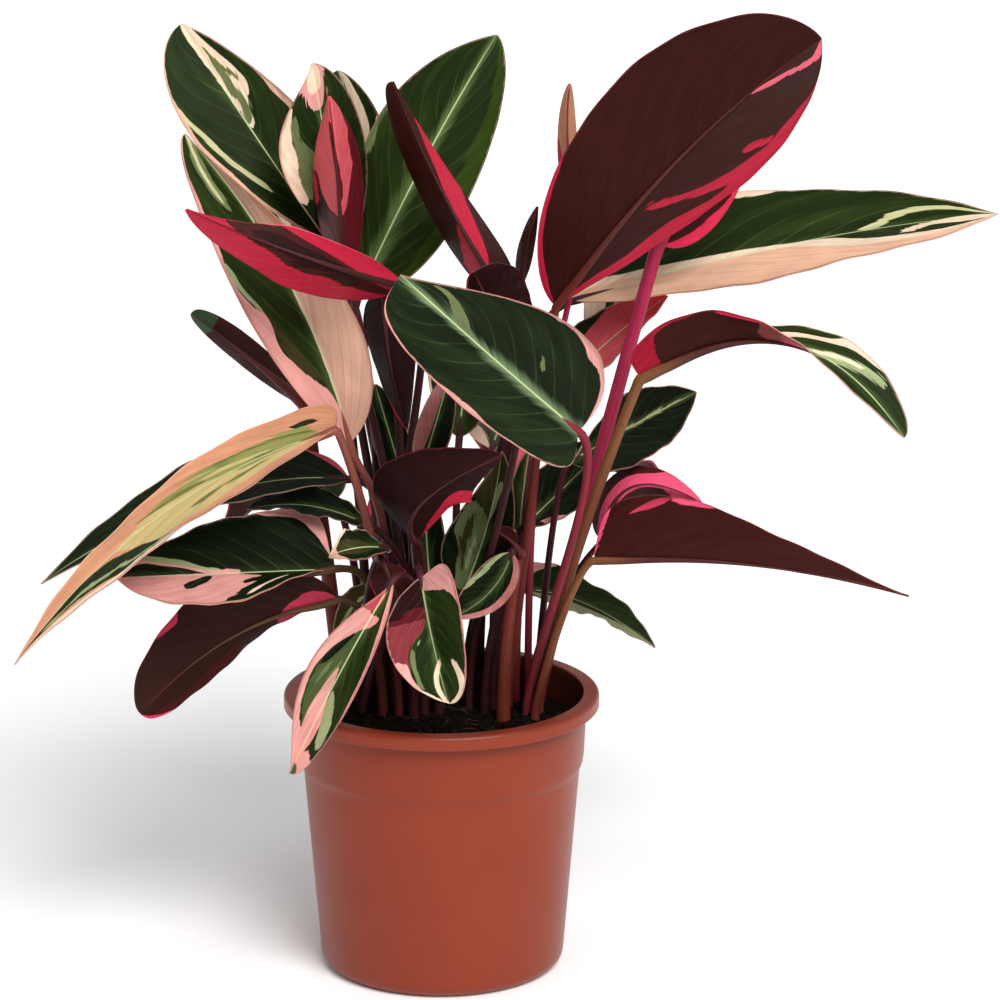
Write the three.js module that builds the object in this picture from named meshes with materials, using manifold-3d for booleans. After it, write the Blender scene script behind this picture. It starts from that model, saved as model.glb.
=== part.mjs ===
// A potted prayer plant, Stromanthe 'Triostar', in a round nursery pot filled with peat.
// Units are millimetres and +Z is up. The origin is the centre of the pot's underside, where it
// stands on the floor. +X is to the right and -Y is towards the viewer.
// Each leaf is one piece that grew whole: its stalk stands in a hole in the soil, rises to the
// blade and runs on as the blade's midrib.
import * as THREE from 'three';
import { mergeVertices } from 'three/addons/utils/BufferGeometryUtils.js';
import Module from 'manifold-3d';

const wasm = await Module();
wasm.setup();

// ---- Driving dimensions ----

const CLEARANCE = 0.35; // between pieces that touch

const POT = {
  height: 170,
  rimRadius: 94.5,
  lipHeight: 8.5,
  lipRound: 2.5,
  collarRadius: 86.8, // outside, just under the lip
  stepHeight: 126, // where the collar ends in a small step inwards
  stepDepth: 2,
  stepRadius: 85.2, // outside, at the foot of the collar
  baseRadius: 73.5, // outside, just above the bottom corner
  cornerRadius: 9,
  wall: 1.8,
  floor: 2.4,
  sides: 40,
};

const DRAIN = { count: 6, radius: 5, circle: 46, sides: 8 };

const SOIL = { top: 150, sides: 40, rootDepth: 22, holeSides: 6 };

const BLADE = {
  thickness: 0.9,
  curl: 8, // degrees that the margin bends up by, on top of the fold
  wave: 1.5, // height of the waves along the margin
  waves: 4, // half waves along it
  columns: [-1, -0.5, 0, 0.5, 1], // across the blade, from the left margin to the right one
  stations: [0.012, 0.06, 0.14, 0.25, 0.37, 0.5, 0.63, 0.75, 0.86, 0.94], // along it, tip at 1
};

const STALK = {
  sides: 5,
  stations: [0, 0.2, 0.4, 0.6, 0.78, 0.93], // from the soil to the blade
  radii: [3.2, 2.2], // at the soil and at the blade, where a leaf has none of its own
};

const COLOURS = {
  pot: 0xb95537,
  soil: 0x1e1612,
  green: 0x2f4a2c,
  cream: 0xe8c8a8,
  pink: 0xd8506e,
  maroon: 0x4a2024,
};

// Every leaf of the plant. tone is its main colour. foot is where its stalk leaves the soil;
// base, mid and tip lie on the midrib, at the start, half-way and the end of the blade. left and
// right give each half's widest half-width, then how roundly its margin opens at the base and
// closes at the tip. face is the way the upper side looks at the base and at the tip, and fold is
// how far the halves rise from flat there, in degrees. Where a leaf differs from the rest, stalk is
// its stalk's radius at both ends, and rise is the share of its height that it climbs straight up.
// reach is how far a stalk arrives in the blade's line.
const LEAVES = [
  { "name": "crown_maroon", "tone": "maroon", "foot": [40, 34], "base": [68, 9, 403],
    "mid": [136, -33, 498], "tip": [214, -90, 578], "left": [67, 1.15, 1],
    "right": [56, 0.59, 0.52], "face": [[0, 0.8, 0.5], [0, 0.8, 0.5]], "fold": [20, 24],
    "stalk": [3, 2.4], "rise": 0.05, "reach": 3 },
  { "name": "crown_rear", "tone": "maroon", "foot": [57, 30], "base": [129, 42, 434],
    "mid": [157, 60, 478], "tip": [191, 70, 532], "left": [28, 0.55, 0.8],
    "right": [28, 0.55, 0.8], "face": [[0, 1, -0.2], [0, 1, -0.2]], "fold": [20, 20],
    "stalk": [4.4, 4.2], "rise": 0.05, "reach": 3 },
  { "name": "right_long", "tone": "green", "foot": [37, 62], "base": [80, 73, 393],
    "mid": [207, 83, 425], "tip": [331, 54, 450], "left": [49, 0.42, 1],
    "right": [53, 0.62, 0.63], "face": [[-0.2, -0.4, 0.9], [-0.2, -0.4, 0.9]], "fold": [12, 12],
    "stalk": [2.8, 2.2] },
  { "name": "right_rose", "tone": "pink", "foot": [52, 41], "base": [67, 68, 334],
    "mid": [99, 75, 366], "tip": [136, 75, 395], "left": [24, 0.55, 0.8],
    "right": [17, 0.55, 0.8], "face": [[-0.6, -0.6, 0.6], [-0.6, -0.6, 0.6]], "fold": [5, 5],
    "stalk": [2.4, 2], "rise": 0.4, "reach": 20 },
  { "name": "front_green", "tone": "green", "foot": [51, 14], "base": [81, -30, 337],
    "mid": [30, -65, 390], "tip": [-21, -85, 442], "left": [40, 0.18, 0.2],
    "right": [45, 0.52, 1.19], "face": [[0.5, -0.8, 0.1], [0.4, -0.9, 0.1]], "fold": [24, 15],
    "stalk": [3, 2.5], "rise": 0.21, "reach": 37 },
  { "name": "top_green", "tone": "green", "foot": [-30, 48], "base": [-47, 50, 406],
    "mid": [-9, 74, 480], "tip": [33, 110, 548], "left": [41, 0.95, 0.98],
    "right": [36, 0.45, 0.64], "face": [[0.2, -0.9, 0.4], [0.2, -0.9, 0.4]], "fold": [20, 20] },
  { "name": "top_left", "tone": "green", "foot": [-38, 57], "base": [-69, 70, 430],
    "mid": [-111, 85, 490], "tip": [-156, 100, 556], "left": [35, 0.94, 0.53],
    "right": [37, 0.35, 0.84], "face": [[0, -1, 0.3], [0, -1, 0.3]], "fold": [25, 15] },
  { "name": "left_tall", "tone": "green", "foot": [-29, 33], "base": [-53, -20, 328],
    "mid": [-91, 9, 422], "tip": [-152, 57, 497], "left": [39, 0.8, 0.68],
    "right": [35, 0.76, 1.79], "face": [[-0.1, -0.9, 0.3], [-0.1, -0.9, 0.3]], "fold": [22, 55],
    "rise": 0.86, "reach": 32 },
  { "name": "left_pink", "tone": "pink", "foot": [-33, 40], "base": [-18, -22, 420],
    "mid": [-80, -86, 454], "tip": [-144, -54, 473], "left": [37, 0.15, 0.26],
    "right": [39, 0.26, 0.62], "face": [[-0.5, 0.9, -0.1], [-0.5, 0.9, -0.1]], "fold": [60, 60] },
  { "name": "upright_rolled", "tone": "pink", "foot": [-18, 22], "base": [-56, 12, 414],
    "mid": [-60, 9, 481], "tip": [-65, 25, 525], "left": [35, 0.5, 0.6],
    "right": [41, 0.45, 0.71], "face": [[0, 1, -0.1], [0, 1, -0.1]], "fold": [64, 64] },
  { "name": "spear_maroon", "tone": "maroon", "foot": [22, 45], "base": [36, 0, 412],
    "mid": [1, 0, 474], "tip": [-27, 0, 538], "left": [36, 0.15, 1.02], "right": [35, 0.3, 0.4],
    "face": [[-0.1, 1, 0], [-0.1, 1, 0]], "fold": [64, 66], "rise": 0.67, "reach": 51 },
  { "name": "back_striped", "tone": "cream", "foot": [-45, 49], "base": [-64, 48, 422],
    "mid": [-68, 59, 483], "tip": [-77, 70, 537], "left": [32, 1.68, 1.51],
    "right": [28, 0.6, 0.6], "face": [[0, -1, 0.3], [0, -1, 0.3]], "fold": [28, 28],
    "reach": 49 },
  { "name": "back_narrow", "tone": "green", "foot": [-25, 57], "base": [-54, 92, 413],
    "mid": [-50, 104, 473], "tip": [-63, 118, 525], "left": [26, 0.6, 0.5],
    "right": [22, 0.6, 0.8], "face": [[0, -1, 0.3], [0, -1, 0.3]], "fold": [25, 25] },
  { "name": "hanging_dark", "tone": "maroon", "foot": [-21, 35], "base": [-31, -3, 421],
    "mid": [-30, -21, 384], "tip": [-20, 8, 329], "left": [25, 0.15, 0.53],
    "right": [26, 0.5, 0.8], "face": [[0.1, 1, -0.2], [0.1, 1, -0.2]], "fold": [48, 48],
    "reach": 12 },
  { "name": "inner_pink", "tone": "pink", "foot": [-10, 27], "base": [-11, -20, 311],
    "mid": [-2, -22, 342], "tip": [6, -25, 371], "left": [12, 0.5, 0.7], "right": [13, 0.5, 0.7],
    "face": [[-0.1, -1, -0.1], [-0.1, -1, -0.1]], "fold": [30, 30] },
  { "name": "cup_dark", "tone": "maroon", "foot": [-11, 16], "base": [-14, -37, 273],
    "mid": [-9, -69, 305], "tip": [36, -75, 334], "left": [38, 0.5, 0.6],
    "right": [40, 0.15, 0.7], "face": [[0.2, 0.9, 0.3], [0.2, 0.9, 0.3]], "fold": [40, 45] },
  { "name": "small_olive", "tone": "green", "foot": [-39, 31], "base": [-33, -38, 269],
    "mid": [-48, -60, 275], "tip": [-64, -59, 270], "left": [13, 0.45, 0.6],
    "right": [13, 0.45, 0.6], "face": [[0.1, -0.5, 0.8], [0.1, -0.5, 0.8]], "fold": [14, 14],
    "rise": 0.58, "reach": 29 },
  { "name": "low_maroon", "tone": "maroon", "foot": [-49, 21], "base": [-35, -39, 262],
    "mid": [-28, -51, 250], "tip": [-16, -47, 213], "left": [15, 0.5, 0.7],
    "right": [15, 0.5, 0.7], "face": [[0, 0.9, -0.5], [0, 0.9, -0.5]], "fold": [40, 40] },
  { "name": "curl_front", "tone": "green", "foot": [-17, 9], "base": [-11, -68, 259],
    "mid": [-4, -88, 227], "tip": [5, -92, 190], "left": [28, 0.15, 0.44],
    "right": [30, 1.02, 1.09], "face": [[-0.1, -1, 0.2], [-0.1, -1, 0.2]], "fold": [38, 30],
    "reach": 27 },
  { "name": "droop_front", "tone": "green", "foot": [-2, 18], "base": [-27, -80, 260],
    "mid": [-55, -104, 216], "tip": [-86, -115, 155], "left": [19, 0.82, 0.56],
    "right": [24, 1.8, 1.41], "face": [[0, -1, 0.3], [0, -1, 0.3]], "fold": [40, 40] },
  { "name": "left_cream", "tone": "cream", "foot": [-26, 14], "base": [-60, -53, 344],
    "mid": [-163, -60, 294], "tip": [-242, -122, 223], "left": [36, 0.92, 1.21],
    "right": [31, 0.18, 1.05], "face": [[-0.4, -0.3, 0.9], [-0.4, -0.3, 0.9]], "fold": [2, 0],
    "stalk": [3, 2.4], "rise": 0.37, "reach": 3 },
  { "name": "left_dark", "tone": "green", "foot": [-43, 40], "base": [-55, 7, 299],
    "mid": [-142, -8, 291], "tip": [-235, -35, 246], "left": [20, 0.5, 0.8],
    "right": [36, 0.67, 1.22], "face": [[-0.2, -0.3, 0.9], [-0.2, -0.3, 0.9]], "fold": [5, 5],
    "rise": 0.6, "reach": 34 },
  { "name": "left_small", "tone": "green", "foot": [-7, 45], "base": [-44, -7, 275],
    "mid": [-80, -1, 285], "tip": [-115, -4, 283], "left": [16, 0.5, 0.8], "right": [20, 1, 1.02],
    "face": [[0, -0.2, 1], [0, -0.2, 1]], "fold": [5, 5], "reach": 24 },
  { "name": "left_pink_edged", "tone": "green", "foot": [-35, 21], "base": [-63, -24, 252],
    "mid": [-124, -43, 255], "tip": [-189, -56, 256], "left": [47, 1.8, 0.91],
    "right": [43, 0.15, 0.65], "face": [[0.1, -0.4, 0.9], [0.1, -0.4, 0.9]], "fold": [16, 12],
    "stalk": [2.8, 2.2], "rise": 0.9, "reach": 17 },
  { "name": "left_maroon", "tone": "maroon", "foot": [-36, 9], "base": [-61, -20, 232],
    "mid": [-122, -20, 211], "tip": [-178, -40, 168], "left": [34, 0.5, 0.56],
    "right": [25, 0.95, 0.43], "face": [[-0.5, 0.7, 0.5], [-0.3, 0.9, 0.2]], "fold": [19, 10],
    "stalk": [2.6, 2.2], "rise": 0.95, "reach": 3 },
  { "name": "right_twisted", "tone": "maroon", "foot": [58, 20], "base": [118, 10, 359],
    "mid": [202, 0, 384], "tip": [271, -30, 333], "left": [19, 0.6, 0.5],
    "right": [22, 0.2, 0.75], "face": [[-0.2, 0.9, 0.5], [0.2, -0.8, 0.6]], "fold": [40, 5],
    "stalk": [3.4, 3.2], "rise": 0.22, "reach": 3 },
  { "name": "right_maroon", "tone": "maroon", "foot": [56, 7], "base": [91, 5, 249],
    "mid": [181, -20, 254], "tip": [275, -40, 240], "left": [28, 0.3, 1.2],
    "right": [46, 0.25, 1.52], "face": [[0.3, 0.9, 0.2], [0.3, 0.9, 0.2]], "fold": [57, 57],
    "stalk": [2.8, 2.3], "rise": 0.15, "reach": 12 },
  { "name": "right_pink", "tone": "pink", "foot": [61, 43], "base": [97, 34, 254],
    "mid": [115, 34, 287], "tip": [156, 29, 278], "left": [20, 0.3, 0.8], "right": [22, 0.3, 0.8],
    "face": [[0.2, 1, -0.2], [0.2, 1, -0.2]], "fold": [50, 50], "stalk": [2.2, 1.8], "rise": 0.69,
    "reach": 3 },
  { "name": "right_back", "tone": "green", "foot": [57, 50], "base": [77, 54, 297],
    "mid": [115, 74, 315], "tip": [155, 94, 331], "left": [21, 1.42, 0.85],
    "right": [34, 0.55, 0.9], "face": [[-0.3, -0.6, 0.7], [-0.3, -0.6, 0.7]], "fold": [5, 5],
    "stalk": [2.4, 2], "rise": 0.05, "reach": 13 },
  { "name": "right_low", "tone": "green", "foot": [46, 60], "base": [50, 84, 209],
    "mid": [90, 94, 196], "tip": [131, 85, 171], "left": [26, 0.25, 0.8],
    "right": [31, 0.32, 0.9], "face": [[0.3, -0.2, 1], [0.3, -0.2, 1]], "fold": [9, 9] },
  { "name": "inner_green", "tone": "green", "foot": [14, 38], "base": [10, 17, 219],
    "mid": [27, 32, 262], "tip": [36, 9, 315], "left": [29, 0.61, 1.1], "right": [20, 0.5, 0.7],
    "face": [[0, -1, 0.1], [0, -1, 0.1]], "fold": [32, 32] },
  { "name": "inner_hanging", "tone": "green", "foot": [26, 21], "base": [42, 3, 254],
    "mid": [29, -4, 232], "tip": [6, -8, 217], "left": [14, 0.69, 0.96], "right": [16, 0.5, 0.6],
    "face": [[-0.1, -0.9, 0.3], [-0.1, -0.9, 0.3]], "fold": [30, 30], "reach": 14 },
  { "name": "inner_right", "tone": "green", "foot": [37, 50], "base": [50, 64, 255],
    "mid": [77, 72, 280], "tip": [100, 70, 305], "left": [22, 0.55, 0.7],
    "right": [22, 0.55, 0.7], "face": [[-0.5, -0.6, 0.6], [-0.5, -0.6, 0.6]], "fold": [5, 5],
    "rise": 0.44 },
  { "name": "tiny_funnel", "tone": "maroon", "foot": [37, 6], "base": [46, 15, 251],
    "mid": [41, 10, 260], "tip": [31, 5, 268], "left": [9, 0.5, 0.7], "right": [9, 0.5, 0.7],
    "face": [[-0.4, 0.9, 0.2], [-0.4, 0.9, 0.2]], "fold": [50, 50], "stalk": [4.4, 3.4],
    "rise": 0.61, "reach": 3 },
  { "name": "left_curled", "tone": "maroon", "foot": [-60, 34], "base": [-83, 60, 332],
    "mid": [-114, 66, 357], "tip": [-151, 72, 385], "left": [17, 0.5, 0.4],
    "right": [13, 0.5, 0.5], "face": [[0, 1, -0.2], [0, 1, -0.2]], "fold": [58, 50],
    "stalk": [5, 4.2], "rise": 0.05, "reach": 3 },
  { "name": "inner_back", "tone": "green", "foot": [-21, 48], "base": [-25, 50, 293],
    "mid": [-32, 52, 317], "tip": [-40, 55, 345], "left": [16, 0.5, 0.7], "right": [16, 0.5, 0.7],
    "face": [[0.1, -1, 0.1], [0.1, -1, 0.1]], "fold": [40, 40] },
  { "name": "inner_upright", "tone": "green", "foot": [30, 31], "base": [47, 35, 258],
    "mid": [49, 36, 283], "tip": [53, 41, 309], "left": [9, 0.5, 0.7], "right": [9, 0.5, 0.7],
    "face": [[-0.3, -0.9, 0.1], [-0.3, -0.9, 0.1]], "fold": [30, 30] },
  { "name": "new_peach", "tone": "cream", "foot": [45, 43], "base": [79, 41, 454],
    "mid": [75, 46, 493], "tip": [76, 46, 529], "left": [13, 0.4, 0.7], "right": [13, 0.4, 0.7],
    "face": [[0, 1, -0.1], [0, 1, -0.1]], "fold": [60, 60], "stalk": [2.2, 1.8], "rise": 0.65 },
  { "name": "new_purple", "tone": "maroon", "foot": [31, 40], "base": [47, 30, 411],
    "mid": [51, 22, 437], "tip": [57, 22, 460], "left": [10, 0.4, 0.8], "right": [10, 0.4, 0.8],
    "face": [[0, 1, -0.1], [0, 1, -0.1]], "fold": [60, 60] },
  { "name": "rear_centre_tall", "tone": "green", "foot": [8, 56], "base": [10, 105, 300],
    "mid": [18, 150, 350], "tip": [30, 205, 368], "left": [27, 0.55, 0.7],
    "right": [27, 0.55, 0.7], "face": [[0, -0.6, 0.8], [0, -0.6, 0.8]], "fold": [15, 15] },
  { "name": "rear_centre_droop", "tone": "green", "foot": [22, 55], "base": [30, 115, 290],
    "mid": [38, 175, 285], "tip": [42, 230, 225], "left": [27, 0.55, 0.8],
    "right": [27, 0.55, 0.8], "face": [[0, 0, 1], [0, 0, 1]], "fold": [12, 12] },
  { "name": "rear_right_droop", "tone": "green", "foot": [28, 66], "base": [70, 120, 262],
    "mid": [108, 175, 262], "tip": [142, 225, 215], "left": [26, 0.55, 0.8],
    "right": [26, 0.55, 0.8], "face": [[0, 0, 1], [0, 0, 1]], "fold": [12, 12] },
  { "name": "rear_right_tall", "tone": "green", "foot": [14, 48], "base": [95, 130, 350],
    "mid": [130, 175, 420], "tip": [165, 235, 455], "left": [28, 0.55, 0.7],
    "right": [28, 0.55, 0.7], "face": [[-0.4, -0.4, 0.8], [-0.4, -0.4, 0.8]], "fold": [15, 15] },
  { "name": "rear_left_droop", "tone": "green", "foot": [-48, 58], "base": [-68, 112, 258],
    "mid": [-102, 160, 256], "tip": [-140, 205, 210], "left": [26, 0.55, 0.8],
    "right": [26, 0.55, 0.8], "face": [[0, 0, 1], [0, 0, 1]], "fold": [12, 12] },
  { "name": "rear_left_tall", "tone": "green", "foot": [-16, 65], "base": [-60, 130, 360],
    "mid": [-95, 170, 420], "tip": [-125, 215, 450], "left": [26, 0.55, 0.7],
    "right": [26, 0.55, 0.7], "face": [[0.4, -0.4, 0.8], [0.4, -0.4, 0.8]], "fold": [15, 15] },
  { "name": "rear_low", "tone": "green", "foot": [-4, 60], "base": [-15, 112, 240],
    "mid": [-25, 168, 230], "tip": [-30, 220, 150], "left": [25, 0.55, 0.8],
    "right": [25, 0.55, 0.8], "face": [[0, 0, 1], [0, 0, 1]], "fold": [12, 12] },
  { "name": "hidden_tip", "tone": "maroon", "foot": [16, 26], "base": [43, -33, 385],
    "mid": [32, -27, 407], "tip": [20, -34, 433], "left": [24, 0.6, 0.35],
    "right": [15, 0.6, 0.6], "face": [[0.2, 1, 0.1], [0.2, 1, 0.1]], "fold": [20, 20],
    "stalk": [2.6, 2], "rise": 0.39 },
  { "name": "inner_dark", "tone": "green", "foot": [0, 30], "base": [-6, 20, 221],
    "mid": [-9, 27, 256], "tip": [-10, 36, 292], "left": [11, 0.5, 0.7], "right": [13, 0.5, 0.7],
    "face": [[0, -1, 0.1], [0, -1, 0.1]], "fold": [25, 25], "stalk": [2.6, 2] },
  { "name": "inner_left", "tone": "green", "foot": [-48, 13], "base": [-32, 17, 228],
    "mid": [-48, 22, 217], "tip": [-64, 17, 198], "left": [11, 0.6, 0.7], "right": [13, 0.6, 0.7],
    "face": [[-0.2, -0.5, 0.8], [-0.2, -0.5, 0.8]], "fold": [12, 12], "stalk": [2.4, 2],
    "rise": 0.3, "reach": 23 },
];

// ---- Manifold helpers ----

function solidOf(geometry) {
  const plain = geometry.clone();
  plain.deleteAttribute('normal');
  plain.deleteAttribute('uv');
  const merged = mergeVertices(plain, 1e-4);
  const mesh = new wasm.Mesh({
    numProp: 3,
    vertProperties: new Float32Array(merged.attributes.position.array),
    triVerts: new Uint32Array(merged.index.array),
  });
  return new wasm.Manifold(mesh);
}

function geometryOf(solid) {
  const { vertProperties, triVerts } = solid.getMesh();
  const geometry = new THREE.BufferGeometry();
  geometry.setAttribute('position', new THREE.BufferAttribute(vertProperties, 3));
  geometry.setIndex(new THREE.BufferAttribute(triVerts, 1));
  return geometry;
}

function lathe(profile, sides) {
  return new THREE.LatheGeometry(profile, sides).rotateX(Math.PI / 2);
}

function arc(centreX, centreY, radius, from, to, steps) {
  const points = [];
  for (let i = 0; i <= steps; i += 1) {
    const angle = THREE.MathUtils.degToRad(from + ((to - from) * i) / steps);
    points.push(new THREE.Vector2(
      centreX + radius * Math.cos(angle),
      centreY + radius * Math.sin(angle),
    ));
  }
  return points;
}

// ---- Pot and soil ----

// Outside radius of the tapering wall below the collar.
function wallRadius(z) {
  const share = (z - POT.cornerRadius) / (POT.stepHeight - POT.cornerRadius);
  return THREE.MathUtils.lerp(POT.baseRadius, POT.stepRadius - POT.stepDepth, share);
}

function potGeometry() {
  const { wall, lipRound: round, lipHeight, height, rimRadius, collarRadius } = POT;
  const corner = POT.cornerRadius;
  const innerCorner = corner - wall;
  const lipBottom = height - lipHeight;
  const at = (x, y) => new THREE.Vector2(x, y);
  const profile = [
    at(0, 0),
    ...arc(POT.baseRadius - corner, corner, corner, -90, -4, 5),
    at(wallRadius(POT.stepHeight - POT.stepDepth), POT.stepHeight - POT.stepDepth),
    at(POT.stepRadius, POT.stepHeight),
    at(collarRadius, lipBottom - 4),
    at(collarRadius, height - wall),
    at(rimRadius - wall, height - wall),
    at(rimRadius - wall, lipBottom),
    at(rimRadius, lipBottom),
    ...arc(rimRadius - round, height - round, round, 0, 90, 3),
    at(collarRadius - wall + 1, height),
    at(collarRadius - wall, height - 1),
    at(collarRadius - wall, lipBottom - 4),
    at(POT.stepRadius - wall, POT.stepHeight),
    at(wallRadius(POT.stepHeight - POT.stepDepth) - wall, POT.stepHeight - POT.stepDepth),
    ...arc(POT.baseRadius - corner, POT.floor + innerCorner, innerCorner, -4, -90, 4),
    at(0, POT.floor),
  ];
  let pot = solidOf(lathe(profile, POT.sides));
  for (let i = 0; i < DRAIN.count; i += 1) {
    const angle = (2 * Math.PI * i) / DRAIN.count;
    const drill = new THREE.CylinderGeometry(DRAIN.radius, DRAIN.radius, 3 * POT.floor, DRAIN.sides)
      .rotateX(Math.PI / 2)
      .translate(DRAIN.circle * Math.cos(angle), DRAIN.circle * Math.sin(angle), 0);
    pot = pot.subtract(solidOf(drill));
  }
  return geometryOf(pot);
}

function soilGeometry() {
  const inset = POT.wall + CLEARANCE;
  const low = POT.floor + CLEARANCE;
  const corner = POT.cornerRadius;
  const step = POT.stepHeight - POT.stepDepth;
  const at = (x, y) => new THREE.Vector2(x, y);
  let soil = solidOf(lathe([
    at(0, low),
    at(POT.baseRadius - corner, low),
    at(POT.baseRadius - inset - 3, POT.floor + 2.6),
    at(wallRadius(corner + 2) - inset, corner + 2),
    at(wallRadius(step) - inset - 0.4, step),
    at(POT.stepRadius - inset - 1, SOIL.top),
    at(0, SOIL.top),
  ], SOIL.sides));
  for (const leaf of LEAVES) {
    const apothem = (leaf.stalk ?? STALK.radii)[0] + CLEARANCE;
    const radius = apothem / Math.cos(Math.PI / SOIL.holeSides);
    const depth = SOIL.rootDepth + CLEARANCE;
    const drill = new THREE.CylinderGeometry(radius, radius, 2 * depth, SOIL.holeSides)
      .rotateX(Math.PI / 2)
      .translate(leaf.foot[0], leaf.foot[1], SOIL.top);
    soil = soil.subtract(solidOf(drill));
  }
  return geometryOf(soil);
}

// ---- Leaves ----

// Half-width of the blade at u, from 0 at its base to 1 at its tip, as a share of the widest.
function outline(u, open, close) {
  const peak = open / (open + close);
  return (u ** open * (1 - u) ** close) / (peak ** open * (1 - peak) ** close);
}

// The curves of one leaf: the stalk from the soil to the blade, and the midrib.
function spinesOf(leaf) {
  const foot = new THREE.Vector3(leaf.foot[0], leaf.foot[1], SOIL.top);
  const base = new THREE.Vector3(...leaf.base);
  const mid = new THREE.Vector3(...leaf.mid);
  const tip = new THREE.Vector3(...leaf.tip);
  const bend = mid.clone().multiplyScalar(2).sub(base.clone().add(tip).multiplyScalar(0.5));
  const midrib = new THREE.QuadraticBezierCurve3(base, bend, tip);
  const arrive = bend.clone().sub(base).normalize();
  const reach = leaf.reach ?? 0.2 * (base.z - SOIL.top);
  const stalk = new THREE.CubicBezierCurve3(
    foot,
    foot.clone().setZ(THREE.MathUtils.lerp(foot.z, base.z, leaf.rise ?? 0.5)),
    base.clone().addScaledVector(arrive, -reach),
    base,
  );
  return { stalk, midrib };
}

function frameAt(along, face) {
  const up = face.clone().addScaledVector(along, -face.dot(along)).normalize();
  const side = new THREE.Vector3().crossVectors(along, up);
  return { side, up };
}

// One cross-section of the blade, ten points: the upper face from left to right, then the
// underside from right to left.
function bladeSection(leaf, midrib, u) {
  const { thickness } = BLADE;
  const point = midrib.getPoint(u);
  const along = midrib.getTangent(u);
  const face = new THREE.Vector3(...leaf.face[0]).lerp(new THREE.Vector3(...leaf.face[1]), u);
  const { side, up } = frameAt(along, face);
  const fold = THREE.MathUtils.degToRad(THREE.MathUtils.lerp(leaf.fold[0], leaf.fold[1], u));
  const curl = THREE.MathUtils.degToRad(BLADE.curl);
  const swell = BLADE.wave * Math.sin(Math.PI * u);
  const rib = thickness + (1 - u) ** 2 * (leaf.stalk ?? STALK.radii)[1];
  const upper = [];
  const under = [];
  for (const r of BLADE.columns) {
    const out = Math.abs(r);
    const hand = Math.sign(r);
    const [widest, open, close] = hand < 0 ? leaf.left : leaf.right;
    const half = widest * outline(u, open, close) * out;
    const angle = fold + curl * out;
    const across = half * Math.cos(fold + (curl * out) / 2);
    const rise = half * Math.sin(fold + (curl * out) / 2)
      + swell * out * out * Math.sin(BLADE.waves * Math.PI * u + hand + leaf.base[0]);
    const top = point.clone()
      .addScaledVector(side, hand * across)
      .addScaledVector(up, rise);
    const down = top.clone();
    if (hand === 0) {
      down.addScaledVector(up, -rib);
    } else {
      down.addScaledVector(side, hand * Math.sin(angle) * thickness);
      down.addScaledVector(up, -Math.cos(angle) * thickness);
    }
    upper.push(top);
    under.unshift(down);
  }
  return [...upper, ...under];
}

// The stalk's rings, from the end of the root up. Its frame is carried back from the blade
// without twist.
function stalkRings(leaf, stalk, firstUp) {
  const [low, high] = leaf.stalk ?? STALK.radii;
  const rings = [];
  let up = firstUp;
  let ring;
  for (const t of [...STALK.stations].reverse()) {
    const frame = frameAt(stalk.getTangent(t), up);
    const centre = stalk.getPoint(t);
    const radius = THREE.MathUtils.lerp(low, high, Math.min(1, 1.3 * t));
    ring = [];
    for (let i = 0; i < STALK.sides; i += 1) {
      const angle = THREE.MathUtils.degToRad(126 - (360 * i) / STALK.sides);
      ring.push(centre.clone()
        .addScaledVector(frame.side, radius * Math.cos(angle))
        .addScaledVector(frame.up, radius * Math.sin(angle)));
    }
    rings.unshift(ring);
    up = frame.up;
  }
  const root = new THREE.Vector3(0, 0, -SOIL.rootDepth);
  rings.unshift(ring.map((point) => point.clone().add(root)));
  return rings;
}

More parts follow.
